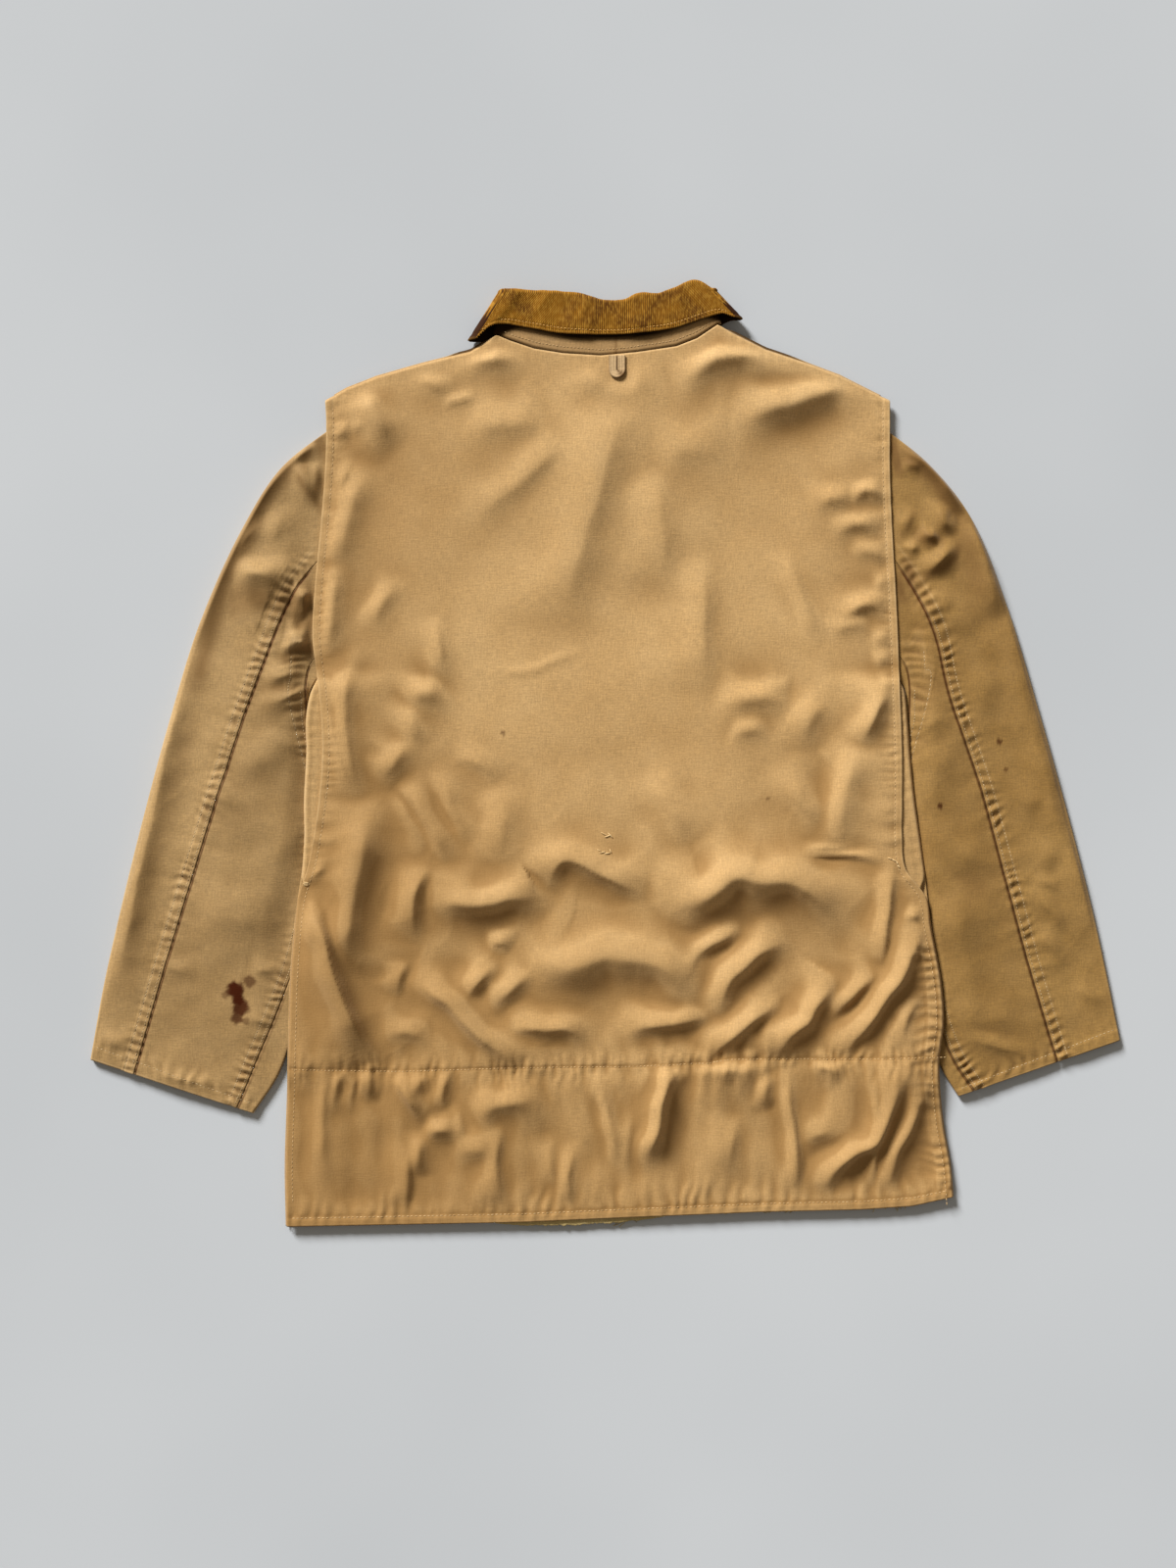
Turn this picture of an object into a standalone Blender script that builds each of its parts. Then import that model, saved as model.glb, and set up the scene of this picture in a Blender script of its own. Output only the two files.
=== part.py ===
"""Hunting jacket, laid out flat with its back up and its collar toward +Y.

Every size is in millimetres from the datum, the middle of the back neck seam: x runs
to the right of the picture, y toward the collar, z up from the surface it lies on.
The finished pieces are moved so that the origin is at the middle of the underside.
"""
import bmesh
import bpy
import numpy as np

MM = 0.001
NAME = "hunting_jacket"
NECK_COLUMNS = 14       # shared by the back panel and the collar

# Cloth and seams
WALL = 1.2              # the cotton canvas, with its lining where it has one
SEAM_GAP = 0.3          # between two pieces sewn to each other
ROLLED_GAP = 0.9        # between the middles of two rolled edges, whose rims tilt together

# Heights of each layer's middle above the surface
FRONT_Z = 0.6
UNDER_BACK_Z = 3.65
BACK_Z = 5.6
SLEEVE_TOP_Z = 4.0
LAYER_STEP = 1.5        # one layer lying on another
SLEEVE_LIFT = 4.9       # the body's edge lies on the sleeve's inner edge

# Rows this far in from a rolled edge shape its quarter round.
RIM_ROW, ROLL_ROW = 0.6, 2.4

# Levels down the body, measured from the neck seam
SHOULDER_DOWN, ARMPIT_DOWN, BARTACK_DOWN, BAG_SEAM_DOWN, HEM_DOWN = 40, 281, 462, 622, 763
SLEEVE_LIFT_ENDS = (612, 628)       # where the left and the right side leave the sleeves

# Collar: a flattened ring whose walls lie at these distances from its middle plane
COLLAR_MID_Z = 7.2
CORDUROY_STAND, UNDER_STAND, UNDER_FALL, CORDUROY_FALL = 1.0, 2.9, 4.7, 6.6
NECK_LEFT, NECK_RIGHT, NECK_FRONT = (-104, 16), (89, 25), (-9, -85)
NECK_ZONE = (28, 140)    # the panels are raised over the collar's front and settle beyond it
SIDE_ZONE = (27, 80)     # and they are raised over the sleeves, inward from the side
COLLAR_OPENING = 0.02    # half the gap between the collar's front ends, as a share of it

# Where the panels' columns are spread: their edges near the shoulder, and the front edges
CAPE_X = (-254, 240)
SIDE_X = (-252, 238)
LEFT_FRONT_EDGE, RIGHT_FRONT_EDGE = 16, -34     # the left front lies under the right one
INNER_BACK_TUCK = 6      # how far inside the body's edge the inner back ends, below the bartack

# Rows of the body's three layers, which share them so that their rolled edges match.
BODY_ROWS = np.concatenate((
    np.linspace(HEM_DOWN, 637, 7), np.linspace(BAG_SEAM_DOWN, 445, 15),
    [425, 395, 365, 335, 308, 294, ARMPIT_DOWN, 258, 230, 196, 160, 124, 88, 60],
    SHOULDER_DOWN + np.array([2.4, 0.6, 0])))

CLOTH = {
    "front_left": (0.45, 0.29, 0.13), "front_right": (0.45, 0.29, 0.13),
    "under_back": (0.42, 0.28, 0.13), "back_panel": (0.54, 0.35, 0.16),
    "sleeve_left_top": (0.36, 0.25, 0.12), "sleeve_left_under": (0.38, 0.26, 0.12),
    "sleeve_right_top": (0.36, 0.25, 0.12), "sleeve_right_under": (0.38, 0.26, 0.12),
    "collar_top": (0.32, 0.16, 0.04), "collar_under": (0.50, 0.32, 0.15),
    "hanger_loop": (0.42, 0.28, 0.13), "lining": (0.62, 0.50, 0.24),
}


def columns(names, rows):
    """A table with named columns."""
    return dict(zip(names.split(), np.array(rows, dtype=float).T))


# Side outlines: x of the outer back panel's edges and of the body's own edges.
BODY = columns("down cape_left cape_right side_left side_right", [
    (40, -254, 240, -246, 232), (60, -253, 240, -243, 229), (101, -254, 240, -245.6, 232),
    (152, -258, 242, -249, 235), (204, -263, 245, -252.3, 238.6), (247, -265, 247, -255, 241.4),
    (281, -261, 248, -257.2, 243.7), (294, -259, 248, -262.5, 249), (316, -257, 249, -269, 253.5),
    (350, -256, 250, -270, 257),
    (390, -259, 250, -272, 261), (425, -264, 250, -272, 266), (450, -269, 253, -273.5, 269.5),
    (475, -277, 271, -277, 272), (500, -280, 275, -280, 275), (550, -284, 284, -284, 284),
    (585, -285, 286, -285, 286), (620, -286, 282, -286, 282), (675, -288, 287, -288, 287),
    (710, -289, 293, -289, 293), (765, -288, 297, -288, 297)])

# Top outline of the back: left shoulder, neck seam, right shoulder.
BACK_TOP = columns("x y", [
    (-254, -40), (-235, -29), (-209, -19), (-169, -8), (-127, 2), (-104, 16), (-92, 11),
    (-71, 4), (-46, 0), (-13, -2), (19, 1), (53, 6), (71, 13), (89, 25), (101, 19),
    (131, 4), (174, -10), (196, -18), (240, -40)])
HEM = columns("x y", [(-288, -763), (-82, -759), (9, -755), (130, -750), (217, -748),
                      (261, -745), (297, -737)])

# Sleeves, from armhole to cuff: the flattened tube's outer and inner edge, and how far
# across it, from the outer edge, its two seams lie.
SLEEVE_STATIONS = np.array([0, 0.1, 0.2, 0.35, 0.5, 0.65, 0.8, 0.9, 1.0])
SLEEVE_LEFT = columns("outer_x outer_y inner_x inner_y seam_back seam_inner", [
    (-244, -60, -257.8, -279, 0.50, 0.90), (-293, -99, -267.8, -299, 0.53, 0.90),
    (-326, -150, -265, -338, 0.485, 0.91), (-364, -234, -251, -400, 0.40, 0.92),
    (-391, -321, -255, -472, 0.35, 0.93), (-415, -410, -265, -531, 0.32, 0.92),
    (-436, -496, -280, -588, 0.295, 0.89), (-449, -555, -295, -630, 0.28, 0.87),
    (-460, -617, -317, -664, 0.27, 0.90)])
SLEEVE_RIGHT = columns("outer_x outer_y inner_x inner_y seam_back seam_inner", [
    (230.2, -60, 244.3, -279, 0.50, 0.90), (275, -96, 254.5, -299, 0.56, 0.90),
    (310, -140, 252, -338, 0.53, 0.91), (343, -220, 238, -400, 0.47, 0.92),
    (371, -312, 246, -468, 0.42, 0.93), (396, -401, 258, -531, 0.41, 0.93),
    (418, -487, 273, -592, 0.40, 0.93), (431, -546, 285, -624, 0.39, 0.92),
    (442, -600, 300, -649, 0.385, 0.90)])

# Collar, across the back: the roll's crest and the fall's edge.
COLLAR_ROLL = columns("across y", [
    (0, 53), (0.2, 51), (0.35, 49), (0.46, 44), (0.6, 44), (0.65, 49), (0.75, 49),
    (0.84, 55), (0.93, 61), (1, 54)])
COLLAR_FALL = columns("across y", [
    (0, 12), (0.04, 21), (0.09, 25), (0.2, 22), (0.33, 17), (0.5, 16), (0.62, 17),
    (0.77, 22), (0.88, 30), (0.95, 34), (1, 31)])
ROLL_ENDS, FALL_ENDS = (-96, 82), (-122, 104)
FRONT_ROLL_Y, FRONT_FALL_Y = -43, -98
FRONT_SEAM_MARGIN = 3

# Folds of the outer back: a ridge from (x0, y0) to (x1, y1), bowed to its left by bend.
# Its lean makes the left side wider and the right side steeper by that share.
BACK_FOLDS = [
    # x0, y0, x1, y1, bend, width, height, lean
    (-250, -466, -190, -622, 0, 22, 7.0, 0.45),     # long diagonal under the left bartack
    (-192, -634, -172, -682, 0, 12, 4.5, 0.40),
    (-176, -686, -182, -750, 0, 8, 3.0, 0.30),
    (-180, -432, -190, -520, 0, 14, 6.0, -0.35),
    (-192, -374, -142, -446, 0, 12, 4.5, 0.55),     # sharp diagonal, left
    (-160, -360, -130, -424, 0, 10, 2.5, -0.30),
    (-236, -290, -222, -440, 0, 13, 2.5, 0.20),
    (-165, -468, -72, -470, -10, 13, 6.5, 0.30),    # wavy ridge across the bag's top
    (-88, -478, -48, -436, 0, 11, 5.0, 0.30),
    (-52, -434, 15, -455, 4, 13, 6.0, 0.30),
    (5, -452, 95, -470, -6, 14, 6.0, 0.35),
    (90, -456, 205, -482, 6, 16, 8.0, 0.35),
    (-80, -502, -30, -540, 3, 11, 4.0, 0.30),
    (-40, -530, 75, -545, 8, 14, 6.5, 0.35),
    (-172, -546, -86, -610, -2, 14, 7.5, 0.50),     # ridges running down to the bag's seam
    (-100, -578, -26, -592, 2, 11, 5.5, 0.50),
    (5, -590, 84, -571, -3, 12, 5.0, 0.40),
    (90, -554, 142, -503, 5, 13, 6.5, 0.40),
    (50, -526, 104, -486, -3, 12, 5.0, 0.40),
    (70, -612, 142, -554, 3, 12, 6.5, 0.40),
    (136, -610, 194, -532, -4, 14, 7.5, 0.40),
    (180, -582, 232, -528, 0, 11, 4.5, 0.40),
    (192, -612, 266, -494, -6, 13, 7.0, 0.45),
    (236, -450, 232, -532, 0, 9, 4.5, -0.50),
    (158, -437, 226, -431, 3, 7, 2.5, 0.30),
    (218, -318, 194, -425, 3, 14, 4.5, -0.40),
    (150, -374, 192, -416, 0, 11, 3.0, 0.40),
    (36, -632, 30, -706, 6, 13, 7.0, -0.35),        # upright folds of the gathered band
    (250, -628, 228, -684, 2, 11, 5.0, -0.35),
    (228, -684, 184, -718, 2, 10, 4.5, -0.35),
    (-172, -688, -134, -668, -4, 11, 4.5, 0.40),
    (-124, -660, -66, -650, 4, 11, 3.5, 0.40),
    (148, -630, 162, -726, 0, 8, 3.0, 0.20),
    (-24, -632, 2, -722, -4, 8, 3.0, 0.20),
]
SEAM_TROUGH = (8, 5.0)      # reach and depth of the pulled-in seam across the bag

# Creases of the sleeves at the armpit and the elbow.
SLEEVE_FOLDS = [
    (-262, -230, -320, -262, 3, 10, 3.0, 0.30),
    (-272, -262, -312, -300, 0, 9, 2.5, 0.30),
    (-300, -420, -380, -400, -5, 14, 2.5, 0.30),
    (-330, -540, -300, -470, 0, 12, 2.0, 0.30),
    (256, -170, 320, -196, -3, 12, 3.0, -0.30),
    (262, -245, 305, -262, 0, 10, 3.0, -0.30),
    (290, -360, 360, -330, 4, 14, 2.5, -0.30),
    (300, -520, 360, -470, 0, 14, 2.5, -0.30),
]


def ramp(value, start, end):
    """Rises softly from 0 at start to 1 at end."""
    t = np.clip((value - start) / (end - start), 0, 1)
    return t * t * (3 - 2 * t)


def table(data, column, at, key="down"):
    """A smooth curve through one column of a table."""
    stations, values = data[key], data[column]
    step = np.diff(stations)
    slope = np.diff(values) / step
    tangent = np.concatenate(([slope[0]], (slope[:-1] + slope[1:]) / 2, [slope[-1]]))
    i = np.clip(np.searchsorted(stations, at, side="right") - 1, 0, len(step) - 1)
    t = np.clip((at - stations[i]) / step[i], 0, 1)
    start = (2 * t**3 - 3 * t**2 + 1) * values[i] + (t**3 - 2 * t**2 + t) * step[i] * tangent[i]
    end = (3 * t**2 - 2 * t**3) * values[i + 1] + (t**3 - t**2) * step[i] * tangent[i + 1]
    return start + end


def ridges(x, y, folds):
    """Summed height of the folds at each point."""
    height = np.zeros_like(x)
    for x0, y0, x1, y1, bend, width, peak, lean in folds:
        length = np.hypot(x1 - x0, y1 - y0)
        ux, uy = (x1 - x0) / length, (y1 - y0) / length
        t = ((x - x0) * ux + (y - y0) * uy) / length
        offset = (y - y0) * ux - (x - x0) * uy - 4 * bend * t * (1 - t)
        reach = width * np.where(offset > 0, 1 + lean, 1 - lean)
        ends = ramp(t, -0.15, 0.2) * ramp(1 - t, -0.15, 0.2)
        height += peak * ends * np.exp(-(offset / reach) ** 2)
    return height


def rolled(distance, radius):
    """Height that a quarter-round edge loses at this distance from its rim."""
    inside = np.clip(radius - distance, 0, radius)
    return radius - np.sqrt(np.maximum(radius**2 - inside**2, 0))


def back_top_y(x):
    return np.interp(x, BACK_TOP["x"], BACK_TOP["y"])


def neck_front_y(x):
    """The front neckline, a deep curve from one neck point to the other."""
    left = NECK_FRONT[1] + (NECK_LEFT[1] - NECK_FRONT[1]) * (
        np.abs(x - NECK_FRONT[0]) / (NECK_FRONT[0] - NECK_LEFT[0])) ** 2
    right = NECK_FRONT[1] + (NECK_RIGHT[1] - NECK_FRONT[1]) * (
        np.abs(x - NECK_FRONT[0]) / (NECK_RIGHT[0] - NECK_FRONT[0])) ** 2
    return np.where(x < NECK_FRONT[0], left, right)


def front_top_y(x):
    at_neck = (x > NECK_LEFT[0]) & (x < NECK_RIGHT[0])
    return np.where(at_neck, neck_front_y(np.clip(x, NECK_LEFT[0], NECK_RIGHT[0])), back_top_y(x))


def near_neck(x, y):
    """1 over the neck hole and beside it, where the collar lies, falling to 0 outside."""
    hole_x, share = np.meshgrid(np.linspace(NECK_LEFT[0], NECK_RIGHT[0], 30), np.linspace(0, 1, 8))
    hole_y = neck_front_y(hole_x) + (back_top_y(hole_x) - neck_front_y(hole_x)) * share
    distance = np.min(np.hypot(x[:, None] - hole_x.ravel(), y[:, None] - hole_y.ravel()), axis=1)
    return 1 - ramp(distance, *NECK_ZONE)


def sleeve_lift(x, y):
    """How far the body is raised where its sides lie on the sleeves."""
    down = -y
    inward = np.minimum(x - table(BODY, "side_left", down), table(BODY, "side_right", down) - x)
    lower_end = np.where(x < 0, *SLEEVE_LIFT_ENDS)
    level = ramp(down, ARMPIT_DOWN - 9, ARMPIT_DOWN + 15)
    level *= 1 - ramp(down, lower_end, lower_end + 40)
    return SLEEVE_LIFT * level * (1 - ramp(inward, *SIDE_ZONE))


def front_base(x, y):
    neck = (COLLAR_MID_Z - UNDER_STAND - FRONT_Z) * near_neck(x, y)
    return FRONT_Z + neck + sleeve_lift(x, y)


def back_base(x, y):
    neck = (COLLAR_MID_Z + UNDER_STAND - BACK_Z) * near_neck(x, y)
    return BACK_Z + neck + sleeve_lift(x, y)


def shoulder_roll(x, y, top_y, radius):
    """Height lost at the shoulder seam, dying out where the collar begins."""
    beyond_neck = np.maximum(NECK_LEFT[0] - x, x - NECK_RIGHT[0])
    return ramp(beyond_neck, 0, 16) * rolled(np.maximum(top_y(x) - y, 0), radius)


def back_height(x, y):
    """The outer back panel: its folds, its pulled-in seam and its rolled edges."""
    reach, depth = SEAM_TROUGH
    folds = ridges(x, y, BACK_FOLDS)
    pulled = np.exp(-((y + BAG_SEAM_DOWN) / reach) ** 2)
    free_edge = np.minimum(x - table(BODY, "cape_left", -y), table(BODY, "cape_right", -y) - x)
    calm = ramp(free_edge, 0, 16) * ramp(-y, 30, 90) * ramp(HEM_DOWN - 8 + y, 0, 25)
    folds = np.maximum(folds - depth * pulled, 0) * calm
    base = back_base(x, y)
    drop = (base - front_base(x, y) - ROLLED_GAP) / 2
    joined = ramp(-y, BARTACK_DOWN + 5, BARTACK_DOWN + 35)
    side_roll = joined * rolled(np.maximum(free_edge, 0), drop)
    return base + folds - np.maximum(side_roll, shoulder_roll(x, y, back_top_y, drop))


def under_back_height(x, y):
    """The inner back: level, with its side edges rolled down to the fronts."""
    down = -y
    edge = np.minimum(x - table(BODY, "side_left", down), table(BODY, "side_right", down) - x)
    sides = ramp(down, ARMPIT_DOWN, ARMPIT_DOWN + 20)
    sides *= 1 - ramp(down, BARTACK_DOWN - 5, BARTACK_DOWN + 13)
    drop = (UNDER_BACK_Z - FRONT_Z - ROLLED_GAP) / 2
    armhole = (SLEEVE_TOP_Z - UNDER_BACK_Z) * (1 - ramp(edge, 0, 30)) * (down < ARMPIT_DOWN)
    base = back_base(x, y) - BACK_Z + UNDER_BACK_Z
    return base + armhole - sides * rolled(np.maximum(edge, 0), drop)


def front_height(x, y, overlap_x=None):
    """A front: flat on the surface, rolled up at its side and shoulder seams."""
    down = -y
    base = front_base(x, y)
    beside_inner = (UNDER_BACK_Z - FRONT_Z - ROLLED_GAP) / 2
    beside_outer = (back_base(x, y) - base - ROLLED_GAP) / 2
    outer = ramp(down, BARTACK_DOWN - 5, BARTACK_DOWN + 35)
    side = np.minimum(x - table(BODY, "side_left", down), table(BODY, "side_right", down) - x)
    below_arm = ramp(down, ARMPIT_DOWN, ARMPIT_DOWN + 20)
    radius = beside_inner + outer * (beside_outer - beside_inner)
    rise = below_arm * rolled(np.maximum(side, 0), radius)
    rise = np.maximum(rise, shoulder_roll(x, y, front_top_y, beside_outer))
    if overlap_x is not None:
        base = base + LAYER_STEP * (1 - ramp(x, overlap_x + 24, overlap_x + 60))
    return base + rise


def panel(name, u_stops, v_stops, shape):
    """A cloth wall: a grid moved to shape(u, v), then thickened about its middle."""
    bm = bmesh.new()
    bmesh.ops.create_grid(bm, x_segments=len(u_stops) - 1, y_segments=len(v_stops) - 1, size=0.5)
    grid = np.array([vertex.co for vertex in bm.verts]) + 0.5
    u = np.interp(grid[:, 0], np.linspace(0, 1, len(u_stops)), u_stops)
    v = np.interp(grid[:, 1], np.linspace(0, 1, len(v_stops)), v_stops)
    for vertex, place in zip(bm.verts, np.column_stack(shape(u, v)) * MM):
        vertex.co = place
    mesh = bpy.data.meshes.new(name)
    bm.to_mesh(mesh)
    bm.free()
    mesh.shade_smooth()
    item = bpy.data.objects.new(name, mesh)
    bpy.data.collections[NAME].objects.link(item)
    wall = item.modifiers.new("wall", "SOLIDIFY")
    wall.thickness = WALL * MM
    wall.offset = 0
    item.modifiers.new("triangles", "TRIANGULATE")
    cloth = bpy.data.materials.new(name)
    cloth.use_nodes = True
    shader = cloth.node_tree.nodes["Principled BSDF"]
    shader.inputs["Base Color"].default_value = (*CLOTH[name], 1)
    shader.inputs["Roughness"].default_value = 0.9
    shader.inputs["Metallic"].default_value = 0
    mesh.materials.append(cloth)
    return item


def stops(*runs):
    """Stops from 0 to 1: each run is (end, intervals), its end counted from the start."""
    values = [0.0]
    for end, intervals in runs:
        values += list(np.linspace(values[-1], end, intervals + 1)[1:])
    return np.array(values) / values[-1]


def parts(*intervals):
    """Stops from 0 to the number of parts, each part cut into its own count of intervals."""
    runs = [np.linspace(i, i + 1, count + 1)[1:] for i, count in enumerate(intervals)]
    return np.concatenate([[0.0], *runs])


def body_plan(across, down, left_x, right_x, top_y):
    """Plan position on the body: sides from the tables, top and hem from their curves."""
    share = (down - SHOULDER_DOWN) / (HEM_DOWN - SHOULDER_DOWN)
    low_left, low_right = left_x(HEM_DOWN), right_x(HEM_DOWN)

    def hem_shift(hem_x):
        return (np.interp(hem_x, HEM["x"], HEM["y"]) + HEM_DOWN) * ramp(share, 0.8, 1)

    left = left_x(down - hem_shift(low_left))
    right = right_x(down - hem_shift(low_right))
    top_x = left_x(SHOULDER_DOWN) + (right_x(SHOULDER_DOWN) - left_x(SHOULDER_DOWN)) * across
    top_shift = (top_y(top_x) + SHOULDER_DOWN) * (1 - ramp(share, 0, 0.45))
    hem_x = low_left + (low_right - low_left) * across
    return left + (right - left) * across, top_shift + hem_shift(hem_x) - down


def build_back_panel():
    width = CAPE_X[1] - CAPE_X[0]
    neck = (NECK_LEFT[0] - CAPE_X[0], NECK_RIGHT[0] - CAPE_X[0])
    across = stops((RIM_ROW, 1), (ROLL_ROW, 1), (neck[0], 10), (neck[1], NECK_COLUMNS),
                   (width - ROLL_ROW, 10), (width - RIM_ROW, 1), (width, 1))

    def shape(across, down):
        x, y = body_plan(across, down, lambda d: table(BODY, "cape_left", d),
                         lambda d: table(BODY, "cape_right", d), back_top_y)
        return x, y, back_height(x, y)

    panel("back_panel", across, BODY_ROWS, shape)


def build_under_back():
    width, below_neck = 500, 5
    rim, roll, zone = 0.4, 1.4, SIDE_ZONE

    def inside(down):
        tucked = ramp(down, BARTACK_DOWN - 8, BARTACK_DOWN + 10)
        return INNER_BACK_TUCK * tucked + SEAM_GAP * (np.asarray(down) < ARMPIT_DOWN)

    def shape(across, down):
        x, y = body_plan(across, down, lambda d: table(BODY, "side_left", d) + inside(d),
                         lambda d: table(BODY, "side_right", d) - inside(d),
                         lambda top_x: np.minimum(back_top_y(top_x), 0) - below_neck)
        return x, y, under_back_height(x, y)

    across = stops((rim, 1), (roll, 1), (zone[0], 1), (zone[1], 2), (width - zone[1], 10),
                   (width - zone[0], 2), (width - roll, 1), (width - rim, 1), (width, 1))
    rows = BODY_ROWS[(BODY_ROWS < BAG_SEAM_DOWN) & (BODY_ROWS > SHOULDER_DOWN + 10)]
    panel("under_back", across, rows, shape)


def build_fronts():
    def left(across, down):
        x, y = body_plan(across, down, lambda d: table(BODY, "side_left", d),
                         lambda d: 0 * d + LEFT_FRONT_EDGE, front_top_y)
        return x, y, front_height(x, y)

    def right(across, down):
        x, y = body_plan(across, down, lambda d: 0 * d + RIGHT_FRONT_EDGE,
                         lambda d: table(BODY, "side_right", d), front_top_y)
        return x, y, front_height(x, y, overlap_x=LEFT_FRONT_EDGE)

    overlap = LEFT_FRONT_EDGE - RIGHT_FRONT_EDGE
    neck, width = NECK_LEFT[0] - SIDE_X[0], LEFT_FRONT_EDGE - SIDE_X[0]
    across = stops((RIM_ROW, 1), (ROLL_ROW, 1), (SIDE_ZONE[0], 1), (SIDE_ZONE[1], 2), (neck, 2),
                   (width, 5))
    panel("front_left", across, BODY_ROWS, left)
    neck, width = NECK_RIGHT[0] - RIGHT_FRONT_EDGE, SIDE_X[1] - RIGHT_FRONT_EDGE
    across = stops((overlap, 2), (neck, 3), (width - SIDE_ZONE[1], 2), (width - SIDE_ZONE[0], 2),
                   (width - ROLL_ROW, 1), (width - RIM_ROW, 1), (width, 1))
    panel("front_right", across, BODY_ROWS, right)


def sleeve_point(data, station, across, z):
    """A point of the flattened sleeve, across millimetres in from its outer edge."""
    at = {name: table(data, name, station, key="station") for name in
          ("outer_x", "outer_y", "inner_x", "inner_y")}
    width = np.hypot(at["inner_x"] - at["outer_x"], at["inner_y"] - at["outer_y"])
    x = at["outer_x"] + (at["inner_x"] - at["outer_x"]) * across / width
    y = at["outer_y"] + (at["inner_y"] - at["outer_y"]) * across / width
    outside = np.maximum(table(BODY, "cape_left", -y) - x, x - table(BODY, "cape_right", -y))
    shown = ramp(outside, 14, 34) * ramp(across, 2, 20) * ramp(width - across, 2, 20)
    raised = ridges(x, y, SLEEVE_FOLDS) * shown * (z - FRONT_Z) / (SLEEVE_TOP_Z - FRONT_Z)
    return x, y, z + raised


def sleeve_width(data, station):
    inner_x, outer_x, inner_y, outer_y = (
        table(data, name, station, key="station") for name in
        ("inner_x", "outer_x", "inner_y", "outer_y"))
    return np.hypot(inner_x - outer_x, inner_y - outer_y)


def build_sleeve(side, data):
    """The top sleeve wraps both edges; the under sleeve closes it between its seams."""
    data["station"] = SLEEVE_STATIONS
    stations = np.concatenate((np.linspace(0, 0.2, 5), np.linspace(0.28, 1, 9)))
    radius = (SLEEVE_TOP_Z - FRONT_Z) / 2
    middle_z = (SLEEVE_TOP_Z + FRONT_Z) / 2

    def top(around, station):
        """Around 0 to 5: back strip, inner roll, floor, outer roll, back strip."""
        width = sleeve_width(data, station)
        inner_seam = width * table(data, "seam_inner", station, key="station") + SEAM_GAP / 2
        back_seam = width * table(data, "seam_back", station, key="station") - SEAM_GAP / 2
        part = np.clip(np.floor(around), 0, 4)
        t = around - part
        angle = np.pi * t
        across = np.select(
            [part == 0, part == 1, part == 2, part == 3],
            [inner_seam + (width - radius - inner_seam) * t, width - radius + radius * np.sin(angle),
             width - radius + (2 * radius - width) * t, radius - radius * np.sin(angle)],
            radius + (back_seam - radius) * t)
        z = np.select([part == 0, part == 1, part == 2, part == 3],
                      [middle_z + radius + 0 * t, middle_z + radius * np.cos(angle),
                       middle_z - radius + 0 * t, middle_z - radius * np.cos(angle)],
                      middle_z + radius)
        return sleeve_point(data, station, across, z)

    def under(across, station):
        width = sleeve_width(data, station)
        start = width * table(data, "seam_back", station, key="station") + SEAM_GAP / 2
        end = width * table(data, "seam_inner", station, key="station") - SEAM_GAP / 2
        return sleeve_point(data, station, start + (end - start) * across, 0 * across + SLEEVE_TOP_Z)

    panel(f"sleeve_{side}_top", parts(1, 4, 5, 4, 3), stations, top)
    panel(f"sleeve_{side}_under", np.linspace(0, 1, 6), stations, under)


def collar_rails(across, on_back):
    """Plan positions of the neck seam, the roll and the fall's edge, front or back."""
    seam_x = NECK_LEFT[0] + (NECK_RIGHT[0] - NECK_LEFT[0]) * across
    roll_x = ROLL_ENDS[0] + (ROLL_ENDS[1] - ROLL_ENDS[0]) * across
    fall_x = FALL_ENDS[0] + (FALL_ENDS[1] - FALL_ENDS[0]) * across
    bow = ramp(np.abs(2 * across - 1), 0, 1)
    back_roll = np.interp(across, COLLAR_ROLL["across"], COLLAR_ROLL["y"])
    back_fall = np.interp(across, COLLAR_FALL["across"], COLLAR_FALL["y"])
    end_roll = COLLAR_ROLL["y"][0] + (COLLAR_ROLL["y"][-1] - COLLAR_ROLL["y"][0]) * across
    end_fall = COLLAR_FALL["y"][0] + (COLLAR_FALL["y"][-1] - COLLAR_FALL["y"][0]) * across
    inward = FRONT_SEAM_MARGIN * (1 - bow**2)
    seam_y = np.where(on_back, back_top_y(seam_x), neck_front_y(seam_x) + inward)
    seam_y = seam_y + SEAM_GAP + bow**2
    roll_y = np.where(on_back, back_roll, FRONT_ROLL_Y + (end_roll - FRONT_ROLL_Y) * bow)
    fall_y = np.where(on_back, back_fall, FRONT_FALL_Y + (end_fall - FRONT_FALL_Y) * bow)
    return (seam_x, seam_y), (roll_x, roll_y), (fall_x, fall_y)


def roll_normal(across, back_share):
    """Unit direction square to the roll line, away from the neck."""
    normal = np.zeros((2, len(across)))
    for on_back, share in ((True, back_share), (False, 1 - back_share)):
        before, after = (collar_rails(np.clip(across + step, 0, 1), on_back)[1]
                         for step in (-0.03, 0.03))
        slope = (after[1] - before[1]) / (after[0] - before[0])
        normal += share * np.array([-slope, np.ones_like(slope)]) / np.hypot(slope, 1)
    return normal / np.hypot(*normal)


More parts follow.
